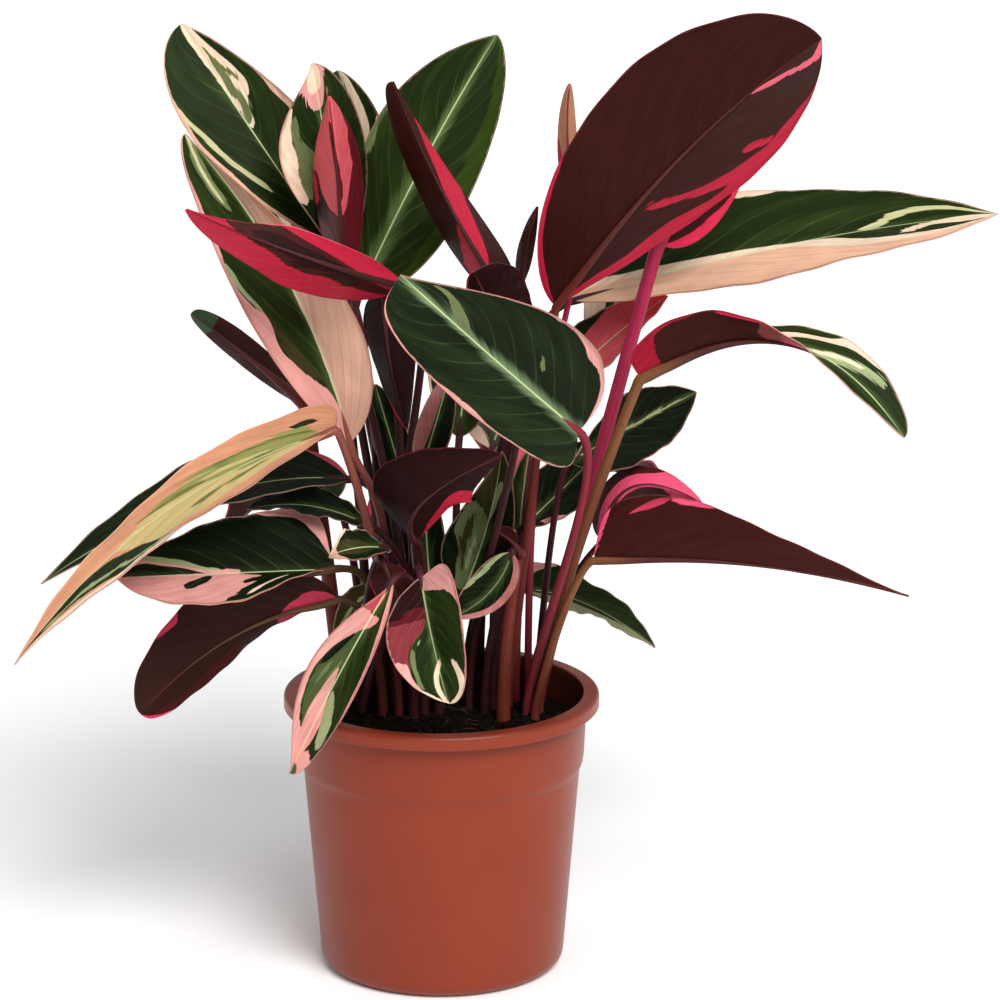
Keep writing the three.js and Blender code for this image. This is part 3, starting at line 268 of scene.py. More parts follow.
MARKS = {
    "crown_maroon": [
        left("crimson", .05, "0 -20, 5 -40, 10 -52, 20 -66, 30 -66, 36 -78, 40 -85, 45 -82, "
             "50 -70, 60 -80, 70 -84, 80 -94, 88 -102"),
        patch("crimson", .09, "30 -10 -10, 34 -30 -16, 38 -52 -32, 42 -70 -50, 46 -84 -62, "
              "50 -98 -70, 54 -110 -90"),
        patch("crimson", .05, "53 -54 -54, 58 -68 -60, 63 -80 -74, 66 -84 -84"),
        left("flush", .04, "72 0 0, 78 -10 -1, 84 -26 -10, 90 -62 -36, 95 -100 -55, 100 -40"),
        right("crimson", .03, "0 30, 5 70, 10 86, 20 93, 30 97, 40"),
    ],
    "right_long": [
        right("cream", .02, "0 -70, 5 -42, 10 -24, 20 -15, 30 -10, 40 -6, 50 -2, 60 6, 70 30, "
              "80 42, 90 50, 100 50"),
        right("apricot", .1, "0 -30, 10 -10, 30 0, 50 8, 70 50, 100 70"),
        patch("ivory", .08, "63 -2 -2, 70 -14 0, 76 -42 -22, 82 -60 -42, 90 -70 -50, 100 -60 -30"),
        patch("cream", .06, "74 30 30, 80 15 32, 86 0 20, 92 -10 30, 100 -20 50"),
        left("cream", .05, "36, 42 -90, 48 -96, 52"),
    ],
    "front_green": [
        patch("sage", .05, "60 0 0, 65 0 15, 70 3 32, 75 22 50, 80 48 68, 86 72 82, 92 90 90"),
        patch("sage", .01, "27 20 20, 30 28 33, 34 40 44, 37 52 52"),
        left("pink", .03, "0 -98.5, 30 -98.5, 42 -97, 50 -90, 56 -92, 64 -95, 75 -99, 85 -98, "
             "100 -93"),
        right("pink", .03, "0 70, 6 86, 10 90, 15 88, 20 84, 25 90, 30 94, 45 97, 70 98, 90 96, "
              "100 80"),
    ],
    "top_green": [
        right("bright", .2, "0 80, 30 70, 70 66, 100 60"),
        left("sage", .3, "40 -95, 50 -86, 60 -93, 66"),
    ],
    "top_left": [
        right("cream", .06, "50 3 3, 56 2 16, 62 2 26, 70 1 60, 78 -3 62, 85 -6 60, 92 -10 62, "
              "100 -20"),
        patch("sage", .14, "53 2 2, 58 3 20, 64 12 30, 70 8 30, 76 12 34, 84 20 36, 88 30 30"),
        patch("olive", .1, "68 40 40, 74 40 50, 80 28 40, 88 24 32, 92 30 30"),
        patch("ivory", .04, "26 -42 -42, 30 -54 -45, 40 -66 -56, 50 -78 -68, 60 -84 -76, "
              "68 -93 -86, 75 -100 -93, 78 -100 -100"),
        left("peach", .03, "0 -80, 30 -88, 40 -87, 50 -90, 60 -93, 70 -92, 80 -95, 100 -100"),
        right("peach", .03, "30, 42 90, 50 86, 60 86, 68 94, 80 97, 100 90"),
    ],
    "left_tall": [
        patch("moss", .2, "13 -6 -6, 20 -42 -20, 30 -68 -42, 40 -64 -50, 45 -70 -62, 48 -72 -72"),
        patch("pale", .04, "42 -68 -66, 50 -88 -80, 58 -97 -90, 62 -100 -100"),
        left("pink", .05, "0 2, 8 0, 13 -10, 20 -45, 26 -68, 30 -75, 40 -64, 45 -80, 50 -90, "
             "60 -93, 75 -90, 90 -92, 100 -80"),
        right("peach", .03, "0 -2, 10 -2, 47 -2, 52 30, 58 50, 65 20, 70 0, 100 0"),
        right("orange", .1, "55, 62 70, 72 80, 78"),
        patch("sage", .1, "68 -26 -26, 76 -44 -28, 83 -56 -30, 90 -60 -20, 96 -50 0, 100 -30 20"),
        patch("ivory", .08, "70 -32 -32, 78 -42 -36, 86 -50 -40, 93 -46 -28, 100 -20 20"),
    ],
    "right_rose": [left("green", .1, "15 -50, 40 -62, 60 -85, 70")],
    "left_pink": [
        right("crimson", .05, "0 50, 10 42, 20 33, 30 30, 40 38, 50 34, 60 18, 70 6, 80 -10, "
              "90 -50, 100 -130"),
        patch("dusk", .3, "10 20 20, 20 10 30, 35 -20 20, 50 -40 16, 60 -50 0, 70 -40 -10, "
              "75 -20 -20"),
        left("crimson", .05, "0 20, 10 10, 20 0, 30 -30, 40 -52, 50 -72, 60 -90, 70 -93, 80 -80, "
             "90 -40, 100 0"),
        left("peach", .02, "0 -97, 60 -95, 100 -94"),
    ],
    "upright_rolled": [
        right("dusk", .12, "20 50 50, 30 40, 50 55, 70 80, 80"),
        right("salmon", .06, "27 0 0, 33 -20 35, 40 -34 62, 50 -47 78, 58 -58, 70 -55, 80 -70, "
              "90 -80, 100 -130"),
        right("crimson", .05, "28 90 90, 35 80, 50 90, 55"),
        patch("wine", .05, "32 -2 -2, 40 -10 0, 50 -8 2, 60 -4 7, 70 0 12, 80 3 14, 87 8 8"),
    ],
    "spear_maroon": [
        left("crimson", .03, "3 0 20, 8 -2 80, 14 -20 80, 20 -42 55, 30 -62 20, 40 -85 -4, 50 -6, "
             "60 -20, 70 -35, 80 -75, 85"),
    ],
    "back_striped": [
        left("cream", .05, "26 -75 -75, 30 -66, 40 -66, 50 -62, 60 -72, 70 -80, 76 -90, 80"),
        patch("sage", .08, "30 -66 -50, 40 -64 -30, 50 -62 -25, 60 -70 -50, 70 -80 -64, "
              "75 -75 -75"),
        left("pink", .3, "70 -20 -20, 78 -50 20, 84 -80 40, 90 50, 100 130"),
        left("cream", .2, "80 -30 -30, 86 -60 10, 92 -90 30, 100 60"),
    ],
    "back_narrow": [
        patch("cream", .05, "44 2 2, 50 3 14, 58 5 34, 66 8 50, 75 8 55, 88 10 60, 95 10 75, "
              "100 0 80"),
        right("cream", .05, "56 50 50, 62 60 85, 68 80, 74"),
    ],
    "hanging_dark": [left("crimson", .05, "82, 88 -80, 94 -50, 100 30")],
    "inner_pink": [left("blush", .04, "12 -90 -50, 20 -30, 40 -12, 70 -10, 85 0, 100 30")],
    "cup_dark": [left("crimson", .03, "0 -40, 20 -42, 40 -40, 60 -35, 70 -50, 75")],
    "small_olive": [
        patch("moss", .25, "30 -30 20, 60 -50 50, 85 -60 70"),
        left("peach", .06, "70 -90, 80 -50, 88 30, 95 130, 100 130"),
        right("cream", .05, "60 95, 80 70, 100 0"),
    ],
    "low_maroon": EDGES,
    "curl_front": [
        right("dusk", .03, "0 5, 20 3, 28 3, 33 70, 36"),
        right("wine", .2, "20 10 10, 27 6 60, 33 4 80, 36 10, 40 25, 44 90, 46"),
        right("berry", .3, "30 30 30, 36 10 70, 40 16, 44 30, 50 52, 60 68, 70 80, 80 88, 90 95, "
              "100 90"),
        right("pink", .06, "58 90 90, 64 74, 72 80, 80 86, 88 94, 100 90"),
        patch("sage", .08, "50 50 50, 56 46 56, 65 52 66, 74 62 74, 82 76 86, 86 84 84"),
        patch("pale", .04, "44 16 16, 50 28 34, 56 42 42"),
        right("cream", .03, "78, 84 90, 90 80, 100 60"),
        left("pink", .06, "0 2, 10 -5, 15 -35, 20 -70, 27 -90, 35 -95, 60 -95, 75 -95, 90 -90, "
             "100 -50"),
        left("cream", .05, "62 -42 -42, 68 -60 -48, 74 -76 -56, 80 -93 -66, 88 -100 -74, "
             "95 -100 -60, 100 -30"),
        right("cream", .06, "60 -10 -10, 68 -10 3, 74 -2 18, 80 8 30, 88 14 45, 95 10 60, "
              "100 -30"),
    ],
    "droop_front": [
        right("rose", .05, "0 -20, 10 -20, 18 0, 23 30 30"),
        patch("reed", .15, "30 2 10, 40 2 50, 50 2 70, 60 4 80, 70 20 75, 78 45 60, 82 50 50"),
        patch("sage", .08, "40 12 12, 50 14 20, 60 22 32, 68 40 40"),
        patch("sage", .08, "45 30 30, 52 38 46, 60 50 56, 66 60 60"),
        patch("deep", .04, "31 20 24, 40 30 52, 50 50 72, 58 74 74"),
        right("pink", .05, "22 -50, 27 -30, 30 5, 35 34, 40 54, 50 74, 60 84, 70 80, 78 70, "
              "84 30, 90 0, 100 -10"),
        right("pink", .07, "46 14 14, 54 8 20, 62 2 30, 70 -12 42, 78 -30 50, 84 -30 60, 90 -20, "
              "100 -20"),
        patch("pale", .06, "58 -4 -4, 64 -28 -6, 72 -60 -14, 78 -80 -34, 84 -90 -50, 88 -70 -70"),
        left("pink", .06, "86 -40 -40, 90 -70 -20, 95 0, 100 30"),
        left("pink", .04, "0 -50, 10 -60, 20 -70, 30 -78, 40 -85, 50 -90, 70 -95, 76"),
        left("reed", .05, "96 -30 30, 100 130"),
    ],
    "left_cream": [
        patch("straw", .14, "4 -30 10, 10 -45 30, 20 -60 40, 30 -66 50, 40 -75 50, 50 -80 30, "
              "60 -40 15, 68 -10 -10"),
        patch("sedge", .25, "5 2 20, 10 -10 42, 20 -15 46, 30 0 50, 40 12 52, 50 26 48, 58 40 40"),
        patch("olive", .2, "6 20 24, 14 30 37, 22 36 43, 30 40 46, 36 42 42"),
        patch("olive", .2, "30 10 10, 38 14 26, 46 26 40, 54 36 42, 60 40 40"),
        patch("olive", .2, "10 0 0, 18 4 10, 26 10 16, 32 16 16"),
        patch("olive", .2, "12 -30 -30, 20 -36 -28, 30 -44 -34, 40 -50 -42, 46 -46 -46"),
        patch("straw", .2, "10 16 16, 20 10 20, 34 20 30, 42 30 30"),
        patch("green", .05, "3.5 50 50, 6 44 58, 10 44 62, 13 55 55"),
        patch("green", .12, "46 -90 -90, 53 -98 -80, 60 -98 -45, 66 -90 -22, 72 -75 -8, "
              "80 -60 -4, 90 -50 -10, 100 -30 0"),
        patch("pale", .2, "50 -95 -90, 60 -85 -75, 70 -60 -50, 80 -50 -35, 90 -40 -30"),
        left("cream", .04, "50 -93, 70 -86, 85 -70, 100 -60"),
    ],
    "left_dark": [
        right("rose", .05, "0 50, 8 80, 15 105"),
        left("pale", .05, "10 -93, 60 -94, 100 -90"),
    ],
    "left_pink_edged": [
        right("pale", .05, "47 0 0, 55 2 10, 60 4 14, 70 20 37, 80 40 60, 88 60 95, 95 60, "
              "100 50"),
        patch("pink", .03, "45 0 5, 60 2 8, 70 17 24, 80 33 42, 90 58 72, 100 50 90"),
        left("pink", .05, "36 -30 -20, 42 -50 -8, 47 -60 0, 50 -72 1, 56 -86 1, 60 1, 100 1"),
        patch("deep", .06, "30 -36 -20, 38 -42 -26, 44 -44 -34, 48 -44 -44"),
        patch("deep", .05, "55 -6 -6, 60 -20 -7, 65 -34 -16, 70 -43 -26, 74 -38 -38"),
        patch("cream", .03, "18 -35 -35, 25 -50 -44, 35 -66 -58, 45 -84 -78, 50 -90 -90"),
        left("cream", .02, "0 -94, 50 -96, 80 -98"),
        right("pink", .04, "0 30, 5 60, 10 78, 20 88, 30 95, 40"),
    ],
    "left_maroon": [
        right("maroon", .06, "45 90 90, 55 50, 70 60, 85 70, 95 60, 100 60"),
        right("rose", .05, "0 -50, 10 -45, 20 -20, 27 -2, 30 30, 33"),
        left("rose", .04, "62, 68 -86, 75 -92, 82"),
        right("pink", .05, "90 97, 96 80, 100 40"),
    ],
    "right_twisted": [
        right("ruby", .12, "0 -130, 3 -130, 7 20, 10 86, 20 90, 24"),
        right("pale", .2, "42 10 90, 50 5, 60 0 80, 70 -35 0, 78 -60 -30, 85 -85 -60, 88 -80 -80"),
        left("cream", .06, "36 -50 -20, 45 -55 -20, 55 -62 -40, 65 -80 -60, 72 -80, 80 -88, 86"),
        patch("cream", .1, "50 10 30, 60 -5 10, 68 -25 -15, 76 -50 -38, 82 -62 -62"),
        patch("sage", .15, "45 30 30, 52 30 50, 62 20 34, 70 2 10, 78 -6 -6"),
        patch("peach", .06, "44 50 50, 52 52 60, 60 40 46, 68 26 26"),
        right("cream", .04, "28 95, 36 85, 50 95, 100 96"),
    ],
    "right_maroon": [
        right("hot", .02, "0 10, 2 60, 5"),
        right("hot", .05, "18, 25 90, 34 93, 42"),
        right("rose", .1, "6 70 70, 12 72 82, 20 86 98, 25"),
    ],
    "right_pink": [
        right("hot", .05, "0 -5 60, 10 -5 45, 30 -10 45, 50 -12 50, 65 -10 55, 72 -10 80, 80 -50, "
              "90 -130, 100 -130"),
    ],
    "right_back": [patch("pale", .2, "30 -2 2, 70 -5 5, 90 -2 2")],
    "right_low": [
        left("pink", .06, "0 -30, 8 -50, 15 -75, 25 -90, 33"),
        right("pale", .12, "0 20, 30 30, 60 40, 80 20, 100 0"),
    ],
    "inner_green": [
        patch("sage", .12, "8 -50 -10, 20 -50 -3, 35 -60 -2, 50 -92 -2, 60 -95 -15, 68 -90 -50, "
              "72 -80 -80"),
        patch("moss", .3, "10 -40 -40, 25 -45 -30, 42 -60 -40, 58 -60 -42, 64 -50 -50"),
        patch("pale", .3, "12 -16 -16, 25 -24 -12, 40 -26 -16, 56 -22 -22"),
        left("moss", .1, "62 -20 0, 75 -90 30, 90 130, 100 130"),
        patch("pale", .04, "50 2 2, 60 -2 10, 70 0 20, 80 10 32, 84 30 30"),
    ],
    "inner_hanging": [
        left("blush", .03, "0 -20, 10 -45, 30 -60, 60 -62, 90 -30, 100 0"),
        right("pale", .06, "2 66, 20 66, 50 74, 70 90, 75"),
        right("moss", .06, "5 98, 20 90, 50 94, 65"),
    ],
    "inner_right": [right("pink", .06, "8 50 50, 14 60, 25 80, 33")],
    "left_curled": [left("leafy", .1, "82 10 10, 88 130, 100 130")],
    "inner_back": [right("cream", .05, "25, 35 86, 60 88, 70")],
    "inner_upright": [right("mauve", .08, "10 0, 30 -5, 60 -10, 80 -20, 100 -30")],
    "new_peach": [
        left("orange", .1, "0 130, 100 130"),
        right("crimson", .1, "0 -130, 15 -130, 30 20, 50 70, 60"),
    ],
    "crown_rear": [
        left("cream", .1, "0 -50, 20 -70, 50 -90, 100 -80"),
        right("cream", .14, "30 10 10, 50 30 60, 70 60, 100 80"),
    ],
    "rear_centre_tall": REAR_A,
    "rear_centre_droop": REAR_B,
    "rear_right_droop": REAR_C,
    "rear_right_tall": REAR_B,
    "rear_left_droop": REAR_A,
    "rear_left_tall": REAR_C,
    "rear_low": REAR_B,
    "hidden_tip": [right("crimson", .05, "60 97, 80 90, 100 70")],
    "inner_left": [patch("pale", .1, "30 20 20, 50 20 35, 80 10 30, 100 0 20")],
}

# Colours of a stalk at the soil and at the blade, and of the rib under the blade
STALK_TONES = {
    "magenta": ((110, 30, 38), (168, 38, 74), (132, 46, 46)),
    "brown": ((92, 38, 26), (118, 74, 42), (72, 32, 28)),
    "salmon": ((74, 28, 26), (142, 78, 66), (144, 80, 64)),
    "dark": ((48, 18, 18), (66, 22, 28), (66, 28, 27)),
    "red": ((94, 37, 26), (112, 40, 34), (86, 38, 32)),
    "tan": ((66, 26, 22), (90, 64, 42), (90, 60, 40)),
    "ruddy": ((100, 30, 36), (128, 36, 50), (86, 38, 32)),
}


# ---- Form of a leaf ----

CURL = math.radians(8)   # that a half bends up by towards its margin, on top of the fold
WAVE = 1.5               # height of the broad waves along the margin
RUFFLE, RUFFLES = 0.5, 13 * np.pi
THICKNESS = 0.9
VEINS = 22               # lateral veins in relief
VEIN_LINES = 9           # and in colour
VEIN_RELIEF = 0.1
VEIN_SLANT, VEIN_TURN = 0.28, 0.1
GROOVE, GROOVE_WIDTH = 0.6, 1.3
FULL_RELIEF = 12         # half width from which the relief has its full height
STATIONS, COLUMNS = 88, 24
STALK_SIDES, STALK_STEPS, RIB_STEPS = 12, 30, 26
ROOT = 12                # depth of a stalk's foot in the soil
TAPER = 1.3              # a stalk has its upper radius from 1 / 1.3 of its length
KNEE, KNEE_AT, KNEE_LENGTH = 0.12, 0.95, 0.03   # the swelling below the blade
RIB_SPAN = (0.02, 0.96)  # the part of the midrib that the stalk runs on under
RIB_RADIUS, RIB_SINKS_BY = 0.42, 0.12


def unit(vectors):
    return vectors / np.linalg.norm(vectors, axis=-1, keepdims=True)


def smooth(t):
    return t * t * (3 - 2 * t)


def outline(u, opening, closing):
    peak = opening / (opening + closing)
    return u ** opening * (1 - u) ** closing / (peak ** opening * (1 - peak) ** closing)


def half_width(leaf, u, r):
    low, high = (widest * outline(u, *ends) for widest, *ends in (leaf.left, leaf.right))
    return np.where(r < 0, low, high)


def rib_of(leaf):
    base, mid, tip = (np.array(place, float) for place in (leaf.base, leaf.mid, leaf.tip))
    return base, 2 * mid - (base + tip) / 2, tip


def rib_frame(leaf, u):
    """Point, direction and upper side of the midrib at each u."""
    base, bend, tip = rib_of(leaf)
    u = np.asarray(u, float)[..., None]
    point = (1 - u) ** 2 * base + 2 * u * (1 - u) * bend + u ** 2 * tip
    along = unit((1 - u) * (bend - base) + u * (tip - bend))
    face = np.array(leaf.face, float)
    start, end = face if face.ndim == 2 else (face, face)
    facing = (1 - u) * start + u * end
    up = unit(facing - (facing * along).sum(-1, keepdims=True) * along)
    return point, along, up


def vein(u, out):
    """Lateral veins leave the midrib at a slant and turn towards the tip."""
    return u - VEIN_SLANT * out - VEIN_TURN * out ** 2


def blade_points(leaf, u, r):
    """Upper face and underside at u along and r across; both are arrays of one shape."""
    point, along, up = rib_frame(leaf, u)
    side = np.cross(along, up)
    out = np.abs(r)
    hand = np.sign(r)
    low, high = leaf.fold
    fold = np.radians(low + (high - low) * u)
    half = half_width(leaf, u, r) * out
    angle = fold + CURL * out
    across = half * np.cos(fold + CURL * out / 2)
    swell = WAVE * np.sin(np.pi * u) * out ** 2
    rise = half * np.sin(fold + CURL * out / 2)
    rise = rise + np.where(hand == 0, 0, swell * np.sin(4 * np.pi * u + hand + leaf.base[0]))
    widest = np.maximum(half_width(leaf, u, -1), half_width(leaf, u, 1))
    broad = np.minimum(1, widest / FULL_RELIEF)
    ridges = np.sin(2 * np.pi * VEINS * vein(u, out))
    rise = rise + broad * VEIN_RELIEF * ridges * np.sin(np.pi * out)
    rise = rise + broad * RUFFLE * out ** 3 * np.sin(RUFFLES * u + 2 * hand + leaf.tip[0])
    rise = rise - broad * GROOVE * np.exp(-(half / GROOVE_WIDTH) ** 2)
    top = point + side * (hand * across)[..., None] + up * rise[..., None]
    thin = THICKNESS * (1 - 0.4 * out ** 2)
    below = side * (hand * np.sin(angle) * thin)[..., None]
    return top, top + (below - up * (np.cos(angle) * thin)[..., None])


def turns(count):
    return np.linspace(0, 2 * np.pi, count, endpoint=False)


def tube(points, radii, sides):
    """Rings of vertices along a path, their frames carried from one to the next."""
    along = unit(np.gradient(points, axis=0))
    up = np.cross(along[0], (0.3, 0.9, 0.1))
    rings = []
    for point, way, radius in zip(points, along, radii):
        up = unit(up - way * np.dot(up, way))
        side = np.cross(way, up)
        turn = turns(sides)[:, None]
        rings.append(point + radius * (np.cos(turn) * side + np.sin(turn) * up))
    return np.array(rings)


class Builder:
    """Collects vertices, faces, a vector for each vertex and a material number for each face."""

    def __init__(self):
        self.points = []
        self.notes = []
        self.faces = []
        self.slots = []

    def add(self, points, notes):
        first = len(self.points)
        self.points.extend(points)
        self.notes.extend(notes)
        return first

    def face(self, corners, slot):
        self.faces.append(tuple(corners))
        self.slots.append(slot)

    def grid(self, first, rows, columns, slot, closed=False, flip=False):
        for i in range(rows - 1):
            for j in range(columns if closed else columns - 1):
                k = (j + 1) % columns
                corners = [first + i * columns + j, first + i * columns + k,
                           first + (i + 1) * columns + k, first + (i + 1) * columns + j]
                self.face(reversed(corners) if flip else corners, slot)

    def fan(self, ring, apex, slot, flip=False):
        for a, b in zip(ring, ring[1:] + ring[:1]):
            self.face((b, a, apex) if flip else (a, b, apex), slot)

    def turned(self, rings, ends, slot, notes=None, end_notes=((0, 0, 0),) * 2, flip=False):
        """Rings of one size, joined and closed by a fan to a point at either end."""
        count, sides, _ = rings.shape
        notes = np.zeros((count * sides, 3)) if notes is None else notes
        first = self.add(rings.reshape(-1, 3), notes)
        self.grid(first, count, sides, slot, closed=True, flip=flip)
        last = first + (count - 1) * sides
        for start, end, note, back in zip((first, last), ends, end_notes, (not flip, flip)):
            apex = self.add([np.array(end, float)], [note])
            self.fan([start + j for j in range(sides)], apex, slot, back)

    def mesh(self, name):
        mesh = bpy.data.meshes.new(name)
        mesh.from_pydata([tuple(p * MM) for p in np.array(self.points)], [], self.faces)
        layer = mesh.attributes.new("grain", "FLOAT_VECTOR", "POINT")
        layer.data.foreach_set("vector", np.array(self.notes, "f").ravel())
        mesh.polygons.foreach_set("material_index", self.slots)
        mesh.polygons.foreach_set("use_smooth", [True] * len(self.faces))
        mesh.update()
        return mesh


def freed(name, shape):
    """The mesh of a bmesh, which is freed."""
    mesh = bpy.data.meshes.new(name)
    shape.to_mesh(mesh)
    shape.free()
    return mesh


def placed(name, data):
    """A new object in the scene."""
    thing = bpy.data.objects.new(name, data)
    bpy.context.scene.collection.objects.link(thing)
    return thing


def put(name, mesh, materials, node):
    piece = placed(name, mesh)
    for material in materials:
        mesh.materials.append(material)
    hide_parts(node)
    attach(piece, "root")


def add_blade(build, leaf):
    s = np.linspace(0, 1, STATIONS + 2)[1:-1]
    along = 0.5 - 0.5 * np.cos(np.pi * s)
    across = np.linspace(-1, 1, COLUMNS + 1)
    u, r = np.meshgrid(along, across, indexing="ij")
    top, under = blade_points(leaf, u, r)
    columns = COLUMNS + 1
    grain = np.stack([u, r, half_width(leaf, u, r)], -1).reshape(-1, 3)
    first = build.add(top.reshape(-1, 3), grain)
    below = build.add(under.reshape(-1, 3), grain * (1, 1, -1))
    build.grid(first, STATIONS, columns, 0, flip=True)
    build.grid(below, STATIONS, columns, 0)
    for i in range(STATIONS - 1):
        for j, flip in ((0, True), (columns - 1, False)):
            corners = (first + i * columns + j, below + i * columns + j,
                       below + (i + 1) * columns + j, first + (i + 1) * columns + j)
            build.face(reversed(corners) if flip else corners, 0)
    base, _, tip = rib_of(leaf)
    for row, point, end, flip in ((0, base, 0.0, True), (STATIONS - 1, tip, 1.0, False)):
        up = rib_frame(leaf, end)[2]
        apex = build.add([point - up * THICKNESS / 2], [(end, 0, -0.1)])
        start = row * columns
        ring = [first + start + j for j in range(columns)]
        ring += [below + start + j for j in reversed(range(columns))]
        build.fan(ring, apex, 0, flip)


def add_stalk(build, leaf):
    """The stalk, which runs on under the blade as its rib."""
    base, bend, _ = rib_of(leaf)
    foot = np.array([*leaf.foot, SOIL_TOP], float)
    height = base[2] - foot[2]
    turn = foot.copy()
    turn[2] += height * leaf.rise
    before = base - unit(bend - base) * (0.2 * height if leaf.reach is None else leaf.reach)
    low, high = leaf.stalk
    t = np.linspace(0, 1, STALK_STEPS)
    q = t[:, None]
    stem = (1 - q) ** 3 * foot + 3 * q * (1 - q) ** 2 * turn
    stem = stem + 3 * q * q * (1 - q) * before + q ** 3 * base
    radii = low + (high - low) * np.minimum(1, TAPER * t)
    radii = radii * (1 + KNEE * np.exp(-((t - KNEE_AT) / KNEE_LENGTH) ** 2))
    u = np.linspace(*RIB_SPAN, RIB_STEPS)
    point, _, up = rib_frame(leaf, u)
    rib = high * (1 - u) ** 2.2 + RIB_RADIUS * (1 - 0.5 * u)
    sunk = smooth(np.minimum(1, u / RIB_SINKS_BY))
    sink = (rib + 0.75) * sunk + 0.4 * rib * (1 - sunk)
    points = np.concatenate([[foot - (0, 0, ROOT)], stem[:-1], point - up * sink[:, None]])
    radii = np.concatenate([[low], radii[:-1], rib])
    grain = np.concatenate([[0], t[:-1], 1 + u])
    rings = tube(points, radii, STALK_SIDES)
    notes = np.zeros((len(grain) * STALK_SIDES, 3))
    notes[:, 0] = np.repeat(grain, STALK_SIDES)
    notes[:, 1] = np.tile(np.linspace(0, 1, STALK_SIDES, endpoint=False), len(grain))
    ends = (points[0] - (0, 0, 1), points[-1])
    build.turned(rings, ends, 1, notes, ((0, 0, 0), (2, 0, 0)))


# ---- Materials ----


def linear(colour):
    def channel(value):
        value /= 255
        return value / 12.92 if value <= 0.04045 else ((value + 0.055) / 1.055) ** 2.4
    return (*(channel(v) for v in colour), 1.0)


class Nodes:
    """A material and short names for the nodes that it is made of."""

    def __init__(self, name):
        self.material = bpy.data.materials.new(name)
        self.material.use_nodes = True
        self.tree = self.material.node_tree
        self.shader = self.tree.nodes["Principled BSDF"]

    def join(self, value, socket):
        if isinstance(value, bpy.types.NodeSocket):
            self.tree.links.new(value, socket)
        else:
            socket.default_value = value

    def new(self, kind, values=(), **settings):
        """A node with its inputs set or linked, in their order or by name."""
        node = self.tree.nodes.new("ShaderNode" + kind)
        for key, setting in settings.items():
            setattr(node, key, setting)
        for key, value in values.items() if isinstance(values, dict) else enumerate(values):
            self.join(value, node.inputs[key])
        return node

    def math(self, operation, *values):
        return self.new("Math", values, operation=operation).outputs[0]

    def plus(self, a, b):
        return self.math("ADD", a, b)

    def minus(self, a, b):
        return self.math("SUBTRACT", a, b)

    def times(self, a, b):
        return self.math("MULTIPLY", a, b)

    def scaled(self, value, by, plus):
        return self.math("MULTIPLY_ADD", value, by, plus)

    def mix(self, factor, a, b, blend="MIX"):
        """Two colours mixed: sockets, linear (r, g, b, a), or (r, g, b) out of 255."""
        node = self.new("Mix", (factor,), data_type="RGBA", blend_type=blend)
        colours = [socket for socket in node.inputs if socket.type == "RGBA"]
        for colour, socket in zip((a, b), colours):
            is_rgb = isinstance(colour, (tuple, list)) and len(colour) == 3
            self.join(linear(colour) if is_rgb else colour, socket)
        return next(socket for socket in node.outputs if socket.type == "RGBA")

    def shaded(self, colour, shade):
        return self.mix(1.0, colour, self.vector(shade, shade, shade), "MULTIPLY")

    def vector(self, x, y, z):
        return self.new("CombineXYZ", (x, y, z)).outputs[0]

    def split(self, vector):
        return self.new("SeparateXYZ", (vector,)).outputs

    def noise(self, vector, scale, detail=2.0, roughness=0.5):
        values = {"Vector": vector, "Scale": scale, "Detail": detail, "Roughness": roughness}
        return self.new("TexNoise", values).outputs["Fac"]

    def span(self, value, low, high, to_low=0.0, to_high=1.0, soft=True):
        kind = "SMOOTHSTEP" if soft else "LINEAR"
        values = (value, low, high, to_low, to_high)
        return self.new("MapRange", values, interpolation_type=kind).outputs[0]

    def curve(self, value, rows):
        """A curve through rows of (u, height), heights between -1.5 and 1.5."""
        node = self.new("FloatCurve", {"Value": value})
        points = node.mapping.curves[0].points
        scaled = [(u, height / 3 + 0.5) for u, height in rows]
        if scaled[0][0] > 0:
            scaled.insert(0, (0.0, scaled[0][1]))
        if scaled[-1][0] < 1:
            scaled.append((1.0, scaled[-1][1]))
        points[0].location = scaled[0]
        points[1].location = scaled[-1]
        for place in scaled[1:-1]:
            points.new(*place)
        for point in points:
            point.handle_type = "AUTO_CLAMPED"
        node.mapping.update()
        return self.scaled(node.outputs[0], 3.0, -1.5)

    def grain(self):
        """The vector that Builder notes at each vertex."""
        return self.split(self.new("Attribute", attribute_name="grain").outputs["Vector"])

    def place(self):
        return self.new("TexCoord").outputs["Object"]

    def bump(self, height, strength, distance):
        node = self.new("Bump", {"Height": height, "Strength": strength, "Distance": distance})
        self.join(node.outputs[0], self.shader.inputs["Normal"])

    def finish(self, colour, roughness, specular):
        self.join(colour, self.shader.inputs["Base Color"])
        self.join(roughness, self.shader.inputs["Roughness"])
        self.shader.inputs["Specular IOR Level"].default_value = specular
        return self.material


MEET = 0.005   # edges closer than this meet
PINCH = 0.07   # and cross over by this much
LEAFY = ("green", "deep", "bright", "fern")


def pinched(rows):
    """Low and high edges, crossed over where they meet so that the marking ends."""
    for end, step in ((0, -0.02), (-1, 0.03)):
        u, low, high = rows[end]
        if 0 < u < 1 and abs(low - high) >= MEET:
            ended = [(min(1, u + step), (low + high) / 2, (low + high) / 2)]
            rows = rows + ended if end else ended + rows
    low = [(u, a + PINCH if abs(a - b) < MEET else a) for u, a, b in rows]
    high = [(u, b - PINCH if abs(a - b) < MEET else b) for u, a, b in rows]
    return low, high


